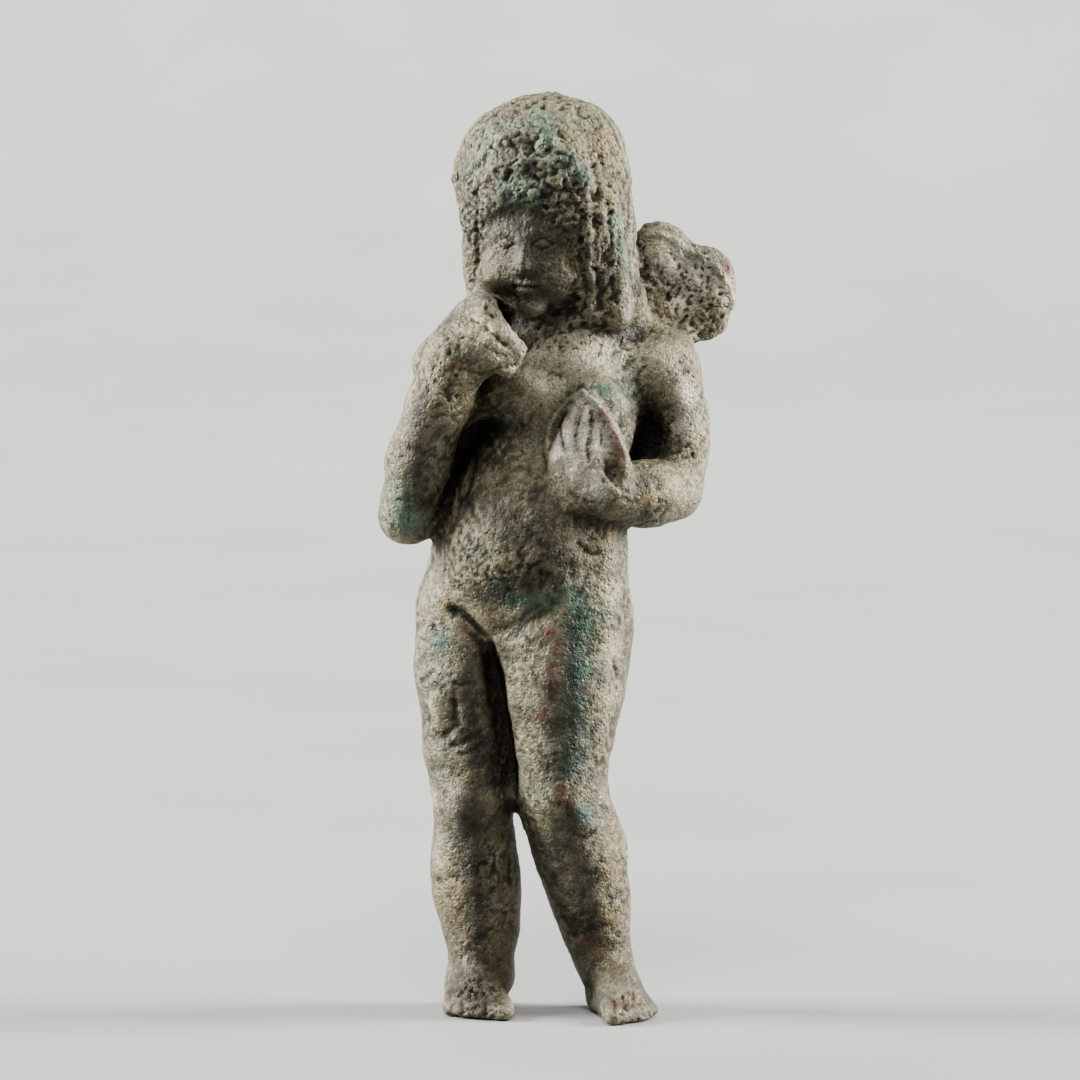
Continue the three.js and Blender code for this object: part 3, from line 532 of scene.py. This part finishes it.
def mark_rough_places(skin):
    """Where the corrosion has eaten deepest."""
    chin = [(-4.6, 52.4, 1.4), (-3.0, 51.6, 1.5), (-1.2, 51.4, 1.5), (0.6, 52.0, 1.5), (2.2, 52.8, 1.5)]
    strands = [(1.6, 58.6, 1.3), (2.4, 56.6, 1.5), (3.0, 54.6, 1.5), (3.6, 52.8, 1.4)]
    fringe = [
        (-4.4, 62.2, 1.3), (-2.8, 64.0, 1.5), (-1.0, 63.6, 1.5), (0.8, 62.6, 1.5), (-2.4, 61.0, 1.3),
    ]
    wing = [(6.2, 54.2, 1.5), (8.2, 54.0, 1.8), (10.0, 53.4, 1.9), (11.4, 52.6, 1.6), (10.4, 50.4, 1.4)]
    waist = [
        (-5.6, 33.0, 1.6), (-4.0, 31.6, 1.5), (-1.8, 33.2, 1.4), (3.0, 35.4, 1.2), (-8.6, 30.0, 1.0),
    ]
    arms = [(-11.6, 37.4, 1.4), (9.8, 42.0, 1.4), (9.6, 47.6, 1.4), (-8.0, 45.4, 1.0)]
    legs = [(-7.4, 24.8, 1.2), (0.6, 16.0, 1.4), (-5.6, 10.6, 1.4), (3.4, 11.2, 1.2), (-6.2, 2.0, 1.2)]
    for spots in (chin, strands, fringe, wing, waist, arms, legs):
        skin.mark("rough", spots)
    back = [(-2.0, 60.0, 3.5), (2.0, 50.0, 2.5), (-4.5, 30.0, 2.0), (3.0, 12.0, 2.0)]
    skin.mark("rough", back, skin.behind)


def corrode(skin):
    """Soft wear, crusts and pits of several sizes, stronger in patches."""
    mark_rough_places(skin)
    points = skin.points
    _, _, _, hair = head_shares(skin)
    smooth_face = skin.nearness([(0, -3.0), (0, -7.0)], 2.3, skin.before_head)
    left_palm = skin.nearness([(0.8, 43.6), (2.6, 40.6)], 2.4, skin.seen)
    calm = (1 - 0.75 * smooth_face) * (1 - 0.6 * left_palm)
    # Rougher in patches, from the waist up, in the hair and in the marked places.
    patches = step_between(lumps(points, size=5.0, seed=11, octaves=2), -0.2, 0.5)
    upper = step_between(points[:, 2], 34, 40)
    least = 0.3
    most = 1.5
    full_crust = 1.2
    rough = least + 0.22 * upper + 0.5 * patches + 0.8 * skin.marks["rough"] + 0.35 * hair
    rough = np.clip(rough, 0, most) * calm
    bends = [lumps(points, size=0.9, seed=seed) for seed in (21, 22, 23)]
    bent = points + 0.3 * np.stack(bends, axis=1)
    wear_height = 0.12
    skin.relief += wear_height * lumps(points, size=3.0, seed=12, octaves=2)
    # Curdled crumbs with narrow clefts between them, and ragged pits.
    crumb_height = 0.13
    crumbs = np.abs(lumps(bent, size=1.3, seed=13, octaves=2)) - 0.25
    skin.relief += crumb_height * crumbs * rough
    grain_height = 0.09
    skin.relief += grain_height * lumps(bent, size=0.55, seed=14, octaves=2) * rough
    pit_depth = 0.2
    ragged = step_between(lumps(bent, size=0.9, seed=15, octaves=2), 0.3, 0.7)
    skin.relief -= pit_depth * ragged * step_between(rough, 0.6, 1.25)
    pock_depth = 0.07
    pocks = step_between(0.36 - cells(bent, size=1.1, seed=16), 0.0, 0.3)
    skin.relief -= pock_depth * pocks * step_between(rough, 0.45, 1.1)
    skin.marks["crusty"] = np.clip(rough / full_crust, 0, 1)


# Where the front shows each colour.
FRONT_SPOTS = {
    "green": [
        (-2.9, 60.5, 1.0), (-1.5, 60.2, 0.9), (-4.0, 61.3, 0.7), (1.9, 62.1, 0.8),
        (1.0, 63.2, 0.7), (-0.8, 65.0, 1.0), (4.5, 58.6, 0.6), (4.7, 56.8, 0.7), (5.0, 55.0, 0.6),
        (-3.4, 30.9, 0.9), (-2.0, 30.7, 1.0), (-0.4, 30.7, 0.8), (3.9, 42.4, 0.4),
        (3.2, 38.6, 0.4), (3.6, 46.3, 0.6), (4.7, 46.1, 0.6), (5.8, 45.8, 0.6), (1.9, 14.7, 0.85),
        (-11.3, 37.2, 0.9), (-10.8, 36.2, 0.8), (-8.9, 27.4, 0.9), (2.0, 43.6, 0.6),
        (0.0, 42.6, 0.6), (8.2, 57.0, 0.8),
    ],
    "red": [
        (-3.4, 66.4, 1.0), (-4.9, 61.9, 0.5), (-7.4, 48.2, 0.4), (-0.2, 27.0, 0.4),
        (-0.5, 25.5, 0.5), (-1.3, 22.1, 0.4), (-0.3, 24.4, 0.7), (-0.6, 28.2, 0.5),
        (-8.8, 16.8, 0.5), (-4.4, 50.2, 0.35), (3.9, 40.4, 0.4), (0.8, 15.4, 0.5),
        (0.3, 16.2, 0.6), (3.4, 44.6, 0.35), (4.2, 43.0, 0.35), (4.5, 41.4, 0.4), (4.9, 0.5, 0.6),
        (4.6, 25.6, 0.3), (12.4, 55.3, 0.5), (12.9, 52.0, 0.5), (-6.8, 28.8, 0.3),
        (-5.9, 31.6, 0.4), (2.4, 5.2, 0.7),
    ],
    "earth": [
        (1.4, 65.6, 1.6), (3.2, 64.2, 1.5), (4.0, 61.0, 1.2), (3.9, 35.4, 0.9), (6.3, 51.9, 1.1),
        (8.0, 51.3, 1.2), (9.6, 49.8, 1.1), (10.3, 47.8, 1.1), (-6.7, 45.1, 1.0), (-4.2, 2.6, 1.1),
        (-4.0, 4.6, 1.0), (10.0, 42.4, 1.0), (-8.4, 30.4, 0.8), (0.8, 14.4, 0.7), (4.0, 7.0, 1.0),
        (-7.4, 6.4, 1.0), (0.6, 66.8, 1.4), (2.4, 65.4, 1.5), (4.4, 62.4, 1.0), (9.8, 40.6, 1.0),
        (9.9, 46.8, 0.9), (9.0, 50.4, 0.9), (7.0, 38.6, 1.2), (8.8, 38.8, 1.2), (-8.7, 8.0, 1.1),
        (-8.8, 11.0, 1.2), (-8.9, 14.6, 1.0), (4.3, 10.4, 1.0), (3.8, 4.6, 1.0), (5.4, 1.2, 0.8),
        (-7.2, 2.4, 0.8), (4.2, 13.2, 1.0),
    ],
    # Dark spots: dark patina, and painted shade under the chin, in the pockets between the arms and the
    # body, on the belly and down the shaded sides of the legs.
    "dark": [
        (-4.4, 52.4, 1.3), (-2.6, 51.4, 1.3), (-0.6, 51.2, 1.2), (1.8, 58.8, 1.0),
        (2.6, 56.4, 1.1), (3.0, 54.2, 1.1), (-2.8, 64.4, 0.9), (0.9, 62.8, 0.8), (7.0, 43.0, 1.7),
        (7.6, 41.4, 1.2), (-5.9, 40.2, 1.1), (-6.6, 38.0, 1.1), (-4.4, 25.6, 0.7),
        (-3.9, 22.4, 0.8), (-3.5, 19.0, 0.9), (0.6, 8.6, 1.3), (2.2, 10.4, 1.2), (-6.0, 4.0, 1.0),
        (6.0, 54.0, 0.8), (-1.0, 33.2, 1.2), (2.2, 36.8, 1.2), (-6.4, 12.4, 1.2),
        (-3.6, 62.4, 0.9), (-0.6, 61.0, 0.8), (-2.0, 62.4, 0.8), (1.0, 61.2, 0.7),
        (-3.8, 60.4, 0.6), (-5.8, 0.4, 1.0), (6.4, 39.4, 0.9), (8.2, 37.9, 0.8), (7.6, 39.6, 0.6),
        (-7.2, 0.6, 0.9), (-4.6, 0.8, 0.9), (1.2, 8.0, 1.4), (0.8, 10.6, 1.4), (-0.4, 24.0, 0.9),
        (-5.8, 17.0, 1.2), (-6.8, 14.4, 1.4), (-6.2, 10.4, 1.4), (1.0, 12.2, 1.4), (1.6, 6.6, 1.2),
        (-5.6, 24.0, 1.2), (-5.4, 20.4, 1.3), (0.4, 17.6, 1.2), (0.2, 21.4, 1.2),
        (-3.4, 35.6, 1.3), (0.4, 33.8, 1.4),
    ],
    # Pale spots: pale dust, and painted light on the upturned chest, the raised right hand and the lit
    # outer sides of the legs.
    "pale": [
        (-1.6, 49.4, 1.6), (0.6, 49.0, 2.0), (2.8, 49.0, 2.0), (5.0, 49.2, 2.0), (7.4, 48.6, 1.8),
        (-0.6, 46.6, 1.6), (-5.4, 50.8, 1.5), (-4.0, 49.6, 1.3), (-6.6, 50.8, 1.2),
        (-3.2, 48.6, 0.9), (7.6, 56.8, 1.4), (5.0, 1.4, 0.8), (4.0, 31.0, 1.2), (4.0, 27.0, 1.2),
        (3.8, 23.0, 1.1), (-8.9, 22.6, 0.7), (-9.2, 16.0, 0.9), (-9.0, 11.6, 1.0),
    ],
    # Chalk spots: chalky crust, and painted light on the upturned left palm, the wing and the left arm.
    "chalk_and_light": [
        (1.8, 44.6, 1.1), (0.6, 43.0, 1.3), (2.4, 42.6, 1.4), (1.2, 40.8, 1.5), (2.6, 39.6, 1.2),
        (0.4, 41.6, 1.0), (8.4, 55.4, 1.2), (10.2, 54.6, 1.3), (12.0, 53.4, 1.2), (9.2, 52.8, 1.0),
        (9.4, 46.0, 1.1), (9.4, 43.6, 1.0),
    ],
    "verdigris": [
        (-5.0, 64.6, 1.6), (-3.4, 65.8, 1.5), (-1.4, 66.2, 1.6), (0.8, 66.2, 1.5),
        (-5.6, 62.6, 1.3), (-1.0, 63.4, 1.6), (-3.0, 61.4, 1.4), (-11.4, 38.6, 1.6),
        (-10.6, 36.8, 1.4), (1.6, 62.4, 1.2), (4.4, 58.6, 1.0), (4.8, 47.6, 1.2),
    ],
    # Shade spots: painted shade over the face.
    "shade": [
        (-3.8, 58.6, 1.6), (-2.6, 57.6, 2.4), (-0.9, 58.4, 1.8), (-0.6, 56.4, 1.8),
        (-2.4, 55.6, 2.6), (-2.2, 53.8, 2.0),
    ],
}

# Where the back has each colour, by guess.
BACK_SPOTS = {
    "green": [
        (2.4, 46.6, 1.6), (-5.6, 37.6, 1.5), (4.0, 30.4, 1.6), (-5.0, 12.4, 1.4),
        (-3.4, 62.6, 1.5), (9.6, 54.4, 1.2), (-7.8, 44.6, 1.3), (1.8, 8.6, 1.2), (2.0, 57.4, 1.3),
        (-0.6, 33.0, 1.2), (9.0, 44.0, 1.2), (-4.4, 22.4, 1.1),
    ],
    "dark": [
        (-1.0, 44.0, 1.8), (-1.2, 40.4, 1.7), (-1.8, 36.4, 1.5), (-2.8, 28.6, 1.4),
        (-4.8, 24.6, 1.5), (0.4, 24.4, 1.5), (-6.0, 16.6, 1.4), (0.6, 16.4, 1.4), (3.4, 50.4, 1.6),
        (-4.4, 50.8, 1.6), (7.6, 53.6, 1.2), (-6.0, 6.0, 1.2),
    ],
    "earth": [
        (5.4, 37.6, 1.6), (-6.8, 32.6, 1.5), (2.6, 20.6, 1.4), (-5.8, 20.2, 1.3), (0.4, 61.0, 1.8),
        (-6.2, 9.0, 1.3), (1.2, 5.0, 1.2), (11.4, 53.0, 1.2), (-3.0, 47.0, 1.3), (4.6, 58.0, 1.4),
    ],
}

# Streaks on the front: a colour, a curve and a width. The palm's creases hold lines of three colours.
STREAKS = [
    ("green", [(1.4, 31.0), (1.5, 27.0), (1.3, 23.0), (1.1, 18.4)], 1.0),
    ("green", [(-3.4, 30.9), (-1.6, 30.6), (0.6, 31.2)], 0.6),
    ("green", [(7.0, 57.3), (8.8, 56.7), (10.6, 55.8)], 0.6),
    ("green", [(2.9, 45.2), (3.6, 43.6), (4.1, 42.4)], 0.35),
    ("red", [(3.3, 44.6), (4.2, 43.0), (4.7, 41.4)], 0.3),
    ("dark", [(0.4, 44.4), (0.3, 43.2), (0.5, 41.8)], 0.22),
    ("dark", [(1.6, 45.0), (1.3, 43.4), (1.4, 41.8)], 0.22),
    ("dark", [(2.5, 44.6), (2.5, 43.0), (2.3, 41.4)], 0.22),
    # The dark streaks from here on are painted shade down the legs' inner sides, under the belly and on
    # the right forearm's front, and dark patina over the feet.
    ("dark", [(5.2, 1.3), (5.6, 0.9)], 0.3),
    ("dark", [(-5.7, 26.4), (-5.0, 22.0), (-4.8, 17.4)], 1.0),
    ("dark", [(-6.4, 15.4), (-6.0, 11.0), (-5.8, 5.6)], 1.1),
    ("dark", [(0.9, 14.4), (1.6, 10.4), (2.4, 6.0)], 1.3),
    ("dark", [(-1.4, 13.0), (0.0, 9.4), (1.2, 6.0)], 0.7),
    ("dark", [(1.0, 28.6), (1.2, 24.0), (1.0, 19.0)], 0.6),
    ("dark", [(-5.4, 31.2), (-3.0, 31.8), (-0.6, 32.4)], 1.2),
    ("dark", [(-10.0, 45.4), (-10.4, 41.0), (-10.0, 37.8)], 0.9),
    ("dark", [(-7.6, 1.6), (-5.4, 1.2)], 1.2),
    ("dark", [(-7.2, 2.6), (-4.4, 2.4)], 1.1),
    ("dark", [(-4.4, 37.6), (-3.0, 35.8), (-0.6, 34.8)], 1.5),
    ("dark", [(-1.6, 38.4), (-1.0, 36.2)], 1.2),
    ("dark", [(-6.6, 26.6), (-6.3, 22.0), (-6.1, 18.6)], 0.9),
]


def mark_colours(skin):
    """Patches of copper green, red oxide, ochre earth, pale dust and dark patina, with painted light
    among the pale and chalk marks and painted shade among the dark and shade marks.
    """
    for name, spots in FRONT_SPOTS.items():
        skin.mark(name, spots)
    for name, spots in BACK_SPOTS.items():
        skin.mark(name, spots, skin.behind)
    for name, points, width in STREAKS:
        skin.streak(name, points, width)
    # Darker towards the feet, and brown patina in broad patches over the back.
    darker_towards_feet = 0.16 * (1 - step_between(skin.points[:, 2], 6, 18))
    patches = step_between(lumps(skin.points, size=4.2, seed=31, octaves=2), -0.5, 0.4)
    brown = 0.5 * patches * step_between(skin.normals[:, 1], 0.1, 0.7)
    skin.marks["dark"] = np.maximum.reduce([skin.marks["dark"], darker_towards_feet, brown])


def mark_hollows(skin):
    """How far each point lies below or above its surroundings, at a small and at a large scale."""
    # Each scale: a name, the rounds of evening out and the depth that counts as full.
    scales = [("pit", 5, 0.035), ("hollow", 60, 0.35)]
    for name, rounds, full_depth in scales:
        around = evened(skin.points, skin.edges, rounds)
        depth = ((around - skin.points) * skin.normals).sum(1)
        skin.marks[name] = np.clip(depth / full_depth, -1, 1)


def cast_figure():
    """The one cast piece: the CAD solid's shape with its carving, wear and corrosion."""
    mesh = rounded(refined(smooth_copy(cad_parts["figurine"])))
    mesh.name = "cast_figure"
    skin = Skin(mesh)
    carve_trunk_and_legs(skin)
    carve_back(skin)
    carve_hands(skin)
    carve_wing(skin)
    carve_feet(skin)
    carve_face(skin)
    carve_hair(skin)
    skin.raise_relief()
    corrode(skin)
    mark_colours(skin)
    skin.raise_relief()
    mark_hollows(skin)
    for name, values in skin.marks.items():
        layer = mesh.attributes.new(name, "FLOAT", "POINT")
        layer.data.foreach_set("value", values.astype(np.float32))
    mesh.transform(Matrix.Scale(MM, 4))
    mesh.shade_smooth()
    piece = bpy.data.objects.new("cast_figure", mesh)
    bpy.context.scene.collection.objects.link(piece)
    mesh.materials.clear()
    mesh.materials.append(corroded_bronze())
    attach(piece, "root")
    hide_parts("figurine")


# Materials

class Graph:
    """A material's nodes, added one after another. Sizes are in millimetres on the object."""

    def __init__(self, name):
        self.material = bpy.data.materials.new(name)
        self.material.use_nodes = True
        self.tree = self.material.node_tree
        self.tree.nodes.clear()
        self.place = self.node("ShaderNodeTexCoord").outputs["Object"]

    def node(self, kind):
        """A new node of a kind."""
        return self.tree.nodes.new(kind)

    def put(self, socket, value):
        """Links a socket or sets its value."""
        if isinstance(value, bpy.types.NodeSocket):
            self.tree.links.new(value, socket)
        else:
            socket.default_value = value

    def mark(self, name):
        """A mark of the skin, read from the mesh."""
        node = self.node("ShaderNodeAttribute")
        node.attribute_name = name
        return node.outputs["Fac"]

    def noise(self, size, seed, detail, roughness, warp=0.0):
        """Noise in 0 to 1 with lumps of about the given size."""
        node = self.node("ShaderNodeTexNoise")
        node.noise_dimensions = "4D"
        self.put(node.inputs["Vector"], self.place)
        self.put(node.inputs["W"], float(seed))
        self.put(node.inputs["Scale"], 1 / (size * MM))
        self.put(node.inputs["Detail"], detail)
        self.put(node.inputs["Roughness"], roughness)
        self.put(node.inputs["Distortion"], warp)
        return node.outputs["Fac"]

    def cells(self, size, seed):
        """Distance to the nearest of scattered centres, as a share of their spacing."""
        node = self.node("ShaderNodeTexVoronoi")
        node.voronoi_dimensions = "4D"
        self.put(node.inputs["Vector"], self.place)
        self.put(node.inputs["W"], float(seed))
        self.put(node.inputs["Scale"], 1 / (size * MM))
        return node.outputs["Distance"]

    def between(self, value, start, end, low=0.0, high=1.0):
        """Low up to start and high from end on, with a soft step between them."""
        node = self.node("ShaderNodeMapRange")
        node.interpolation_type = "SMOOTHSTEP"
        self.put(node.inputs["Value"], value)
        self.put(node.inputs["From Min"], start)
        self.put(node.inputs["From Max"], end)
        self.put(node.inputs["To Min"], low)
        self.put(node.inputs["To Max"], high)
        return node.outputs["Result"]

    def math(self, operation, first, second):
        """The result of an arithmetic operation."""
        node = self.node("ShaderNodeMath")
        node.operation = operation
        self.put(node.inputs[0], first)
        self.put(node.inputs[1], second)
        return node.outputs[0]

    def mix(self, share, first, second, mode="MIX"):
        """The first colour, with the second laid over it by a share."""
        node = self.node("ShaderNodeMix")
        node.data_type = "RGBA"
        node.blend_type = mode
        self.put(node.inputs["Factor"], share)
        self.put(node.inputs[6], first)
        self.put(node.inputs[7], second)
        return node.outputs[2]

    def times(self, first, second):
        """The product of two values."""
        return self.math("MULTIPLY", first, second)

    def plus(self, first, second):
        """The sum of two values."""
        return self.math("ADD", first, second)

    def surface(self, shader):
        """Makes a shader the material's surface."""
        output = self.node("ShaderNodeOutputMaterial")
        self.put(output.inputs["Surface"], shader.outputs["BSDF"])
        return self.material


def paint(red, green, blue):
    """An opaque colour."""
    return (red, green, blue, 1.0)


# The colours of the patina, then the two tones of the backdrop's paper.
# This dark brown also paints shade in the dark marks and the broad hollows.
DARK_BROWN = paint(0.012, 0.009, 0.005)
OLIVE = paint(0.046, 0.040, 0.021)
GREY_TAN = paint(0.108, 0.094, 0.055)
# This pale dust colour also paints light on lit and upturned places.
PALE_DUST_AND_LIGHT = paint(0.285, 0.258, 0.178)
# This chalk colour also paints light on the upturned palm, the wing and the left arm.
CHALK_AND_LIGHT = paint(0.47, 0.435, 0.35)
VERDIGRIS = paint(0.17, 0.225, 0.165)
DEEP_GREEN = paint(0.024, 0.058, 0.040)
BRIGHT_GREEN = paint(0.07, 0.18, 0.125)
RED_OXIDE = paint(0.12, 0.040, 0.028)
OCHRE = paint(0.19, 0.135, 0.068)
# This near-black green paints the shade over the face.
PAINTED_FACE_SHADE = paint(0.020, 0.023, 0.015)
PAPER_SHADOW = paint(0.235, 0.233, 0.228)
PAPER_LIGHT = paint(0.25, 0.248, 0.243)

# The bronze's shine: a part of the metal shows through, and it is rougher where it is crusty.
# The depth of the grain is in millimetres.
METAL_SHARE = 0.35
CRUST_IOR = 1.5
LEAST_ROUGHNESS = 0.2
GRAIN_ROUGHNESS = 0.32
CRUST_ROUGHNESS = 0.34
GRAIN_DEPTH = 0.22


def bronze_colour(g, broad, middle, fine):
    """The colour in layers: brown and tan metal, dust, ochre, green, red, pale dust and chalk with
    painted light, then the face's painted shade, and dark patina and dirt with painted shade.
    """
    pit = g.mark("pit")
    hollow = g.mark("hollow")
    green_mark = g.mark("green")
    ground_share = g.between(g.plus(broad, g.times(middle, 0.8)), 0.72, 1.08)
    colour = g.mix(ground_share, OLIVE, GREY_TAN)
    # Dust and wear on what stands proud.
    raised = g.math("SUBTRACT", g.times(fine, 1.4), g.times(pit, 0.9))
    colour = g.mix(g.times(g.between(raised, 0.55, 1.35), 0.47), colour, PALE_DUST_AND_LIGHT)
    ochre_share = g.times(g.mark("earth"), g.between(middle, 0.38, 0.6, 0.25, 0.85))
    colour = g.mix(ochre_share, colour, OCHRE)
    stray_earth = g.noise(size=2.6, seed=5, detail=4.0, roughness=0.6)
    colour = g.mix(g.between(stray_earth, 0.56, 0.7, 0.0, 0.35), colour, OCHRE)
    # Copper salts: a deep green film with brighter crumbs.
    stray_green = g.noise(size=3.2, seed=6, detail=4.0, roughness=0.6)
    film = g.plus(g.times(green_mark, 0.85), g.between(stray_green, 0.52, 0.7, 0.0, 0.55))
    film = g.times(film, g.between(middle, 0.34, 0.56, 0.5, 1.0))
    colour = g.mix(film, colour, DEEP_GREEN)
    crumbs = g.times(g.plus(green_mark, 0.08), g.between(fine, 0.5, 0.62))
    colour = g.mix(g.times(crumbs, 0.5), colour, BRIGHT_GREEN)
    reds = g.times(g.mark("red"), g.between(fine, 0.4, 0.56, 0.35, 0.95))
    stray_red = g.noise(size=1.1, seed=7, detail=3.0, roughness=0.6)
    reds = g.math("MAXIMUM", reds, g.between(stray_red, 0.66, 0.74, 0.0, 0.6))
    colour = g.mix(reds, colour, RED_OXIDE)
    # Dry pale dust and chalky crust, both partly painted light, and grey green, then the face's painted
    # shade, and dark patina and dirt with painted shade.
    # The pale marks lay pale dust and painted light.
    pale_dust_and_light = g.times(g.mark("pale"), g.between(middle, 0.3, 0.6, 0.5, 0.95))
    colour = g.mix(pale_dust_and_light, colour, PALE_DUST_AND_LIGHT)
    # The chalk marks lay chalky crust and painted light.
    chalk_and_light = g.times(g.mark("chalk_and_light"), g.between(middle, 0.3, 0.6, 0.6, 1.0))
    colour = g.mix(chalk_and_light, colour, CHALK_AND_LIGHT)
    tinge = g.times(g.mark("verdigris"), g.between(broad, 0.35, 0.6, 0.2, 0.6))
    colour = g.mix(tinge, colour, VERDIGRIS)
    # The face gets painted shade.
    colour = g.mix(g.times(g.mark("shade"), 0.75), colour, PAINTED_FACE_SHADE)
    # The dark marks lay dark patina and painted shade.
    dark_patina_and_shade = g.times(g.mark("dark"), g.between(middle, 0.3, 0.6, 1.0, 0.62))
    colour = g.mix(dark_patina_and_shade, colour, DARK_BROWN)
    # Pits get dark patina; the broad hollows get dark dirt and painted shade.
    colour = g.mix(g.between(pit, 0.15, 0.95, 0.0, 0.8), colour, DARK_BROWN)
    colour = g.mix(g.between(hollow, 0.1, 0.9, 0.0, 0.6), colour, DARK_BROWN)
    # Fine specks, lighter and darker.
    speck = g.noise(size=0.16, seed=4, detail=2.0, roughness=0.6)
    mottle = g.between(speck, 0.3, 0.7, 0.62, 1.32)
    grey = g.node("ShaderNodeCombineColor")
    for channel in ("Red", "Green", "Blue"):
        g.put(grey.inputs[channel], mottle)
    return g.mix(1.0, colour, grey.outputs["Color"], "MULTIPLY")


def corroded_bronze():
    """Corroded bronze: brown and grey patina under dust, earth and copper salts, with painted light and
    painted shade in its colour, and a fine grain.
    """
    g = Graph("corroded_bronze_patina")
    broad = g.noise(size=4.5, seed=1, detail=4.0, roughness=0.6, warp=0.4)
    middle = g.noise(size=1.3, seed=2, detail=5.0, roughness=0.65)
    fine = g.noise(size=0.42, seed=3, detail=4.0, roughness=0.65)
    crusty = g.mark("crusty")
    shader = g.node("ShaderNodeBsdfPrincipled")
    g.put(shader.inputs["Base Color"], bronze_colour(g, broad, middle, fine))
    g.put(shader.inputs["Metallic"], METAL_SHARE)
    g.put(shader.inputs["IOR"], CRUST_IOR)
    rough = g.plus(g.times(fine, GRAIN_ROUGHNESS), g.times(crusty, CRUST_ROUGHNESS))
    g.put(shader.inputs["Roughness"], g.plus(rough, LEAST_ROUGHNESS))
    # Grain: crumbs, grit and pocks.
    crumble = g.noise(size=0.5, seed=8, detail=5.0, roughness=0.6, warp=0.6)
    grit = g.times(g.noise(size=0.17, seed=9, detail=3.0, roughness=0.6), 0.4)
    pocks = g.times(g.between(g.cells(size=0.36, seed=10), 0.1, 0.5), g.times(crusty, 0.6))
    bump = g.node("ShaderNodeBump")
    g.put(bump.inputs["Strength"], 1.0)
    g.put(bump.inputs["Distance"], GRAIN_DEPTH * MM)
    g.put(bump.inputs["Height"], g.plus(g.plus(crumble, grit), pocks))
    g.put(shader.inputs["Normal"], bump.outputs["Normal"])
    return g.surface(shader)


def plain_paper():
    """The backdrop's matt, pale and nearly even paper."""
    g = Graph("pale_paper")
    shader = g.node("ShaderNodeBsdfPrincipled")
    tint = g.between(g.noise(size=30.0, seed=1, detail=2.0, roughness=0.5), 0.3, 0.7)
    g.put(shader.inputs["Base Color"], g.mix(tint, PAPER_SHADOW, PAPER_LIGHT))
    g.put(shader.inputs["Roughness"], 0.9)
    return g.surface(shader)


# Setting

def backdrop():
    """A pale round floor that curves up on all sides into a plain wall."""
    reach = 900
    bend = 300
    top = 700
    arc_steps = 16
    turns = 96
    profile = [(reach - bend, 0.0)]
    for n in range(1, arc_steps + 1):
        slope = math.pi / 2 * n / arc_steps
        profile.append((reach - bend + bend * math.sin(slope), bend - bend * math.cos(slope)))
    profile.append((reach, top))
    vertices = [(0.0, 0.0, 0.0)]
    for radius, height in profile:
        for n in range(turns):
            turn = math.tau * n / turns
            x = radius * math.cos(turn)
            y = radius * math.sin(turn)
            vertices.append((x * MM, y * MM, height * MM))
    faces = []
    for n in range(turns):
        after = (n + 1) % turns
        faces.append((0, 1 + n, 1 + after))
        for ring in range(len(profile) - 1):
            low = 1 + ring * turns
            high = low + turns
            faces.append((low + n, high + n, high + after, low + after))
    mesh = bpy.data.meshes.new("backdrop")
    mesh.from_pydata(vertices, [], faces)
    mesh.shade_smooth()
    mesh.materials.append(plain_paper())
    sheet = bpy.data.objects.new("backdrop", mesh)
    bpy.context.scene.collection.objects.link(sheet)


def aim(thing, place, target):
    """Puts a camera or a lamp in its place and turns it to a target."""
    direction = target - place
    thing.location = place * MM
    thing.rotation_mode = "QUATERNION"
    thing.rotation_quaternion = direction.to_track_quat("-Z", "Y")
    bpy.context.scene.collection.objects.link(thing)


def soft_light(name, place, width, height, watts, target=VIEW_TARGET):
    """A rectangular lamp that points at a target."""
    lamp = bpy.data.lights.new(name, "AREA")
    lamp.shape = "RECTANGLE"
    lamp.size = width * MM
    lamp.size_y = height * MM
    lamp.energy = watts
    aim(bpy.data.objects.new(name, lamp), Vector(place), Vector(target))


def lights():
    """Two tall soft lights at the sides and a weak one overhead, as in the photograph, and one that
    lights the wall behind."""
    soft_light("left_light", (-330, 20, 150), width=110, height=240, watts=4.7)
    soft_light("right_light", (330, 25, 150), width=110, height=240, watts=4.7)
    soft_light("top_light", (-20, -210, 390), width=180, height=140, watts=1.6)
    soft_light("wall_light", (0, 300, 650), width=800, height=300, watts=26.0, target=(0, 620, 500))
    world = bpy.data.worlds.new("studio")
    world.use_nodes = True
    background = world.node_tree.nodes["Background"]
    background.inputs["Color"].default_value = paint(0.9, 0.9, 0.9)
    background.inputs["Strength"].default_value = 0.02
    bpy.context.scene.world = world
    bpy.context.scene.view_settings.look = "AgX - Medium High Contrast"


def camera():
    """The camera at the photograph's angle."""
    lens = bpy.data.cameras.new("camera")
    lens.sensor_width = SENSOR_WIDTH
    lens.lens = LENS_LENGTH
    lens.clip_start = 0.05
    lens.clip_end = 10
    view = bpy.data.objects.new("camera", lens)
    aim(view, EYE, VIEW_TARGET)
    bpy.context.scene.camera = view


camera()
cast_figure()
backdrop()
lights()
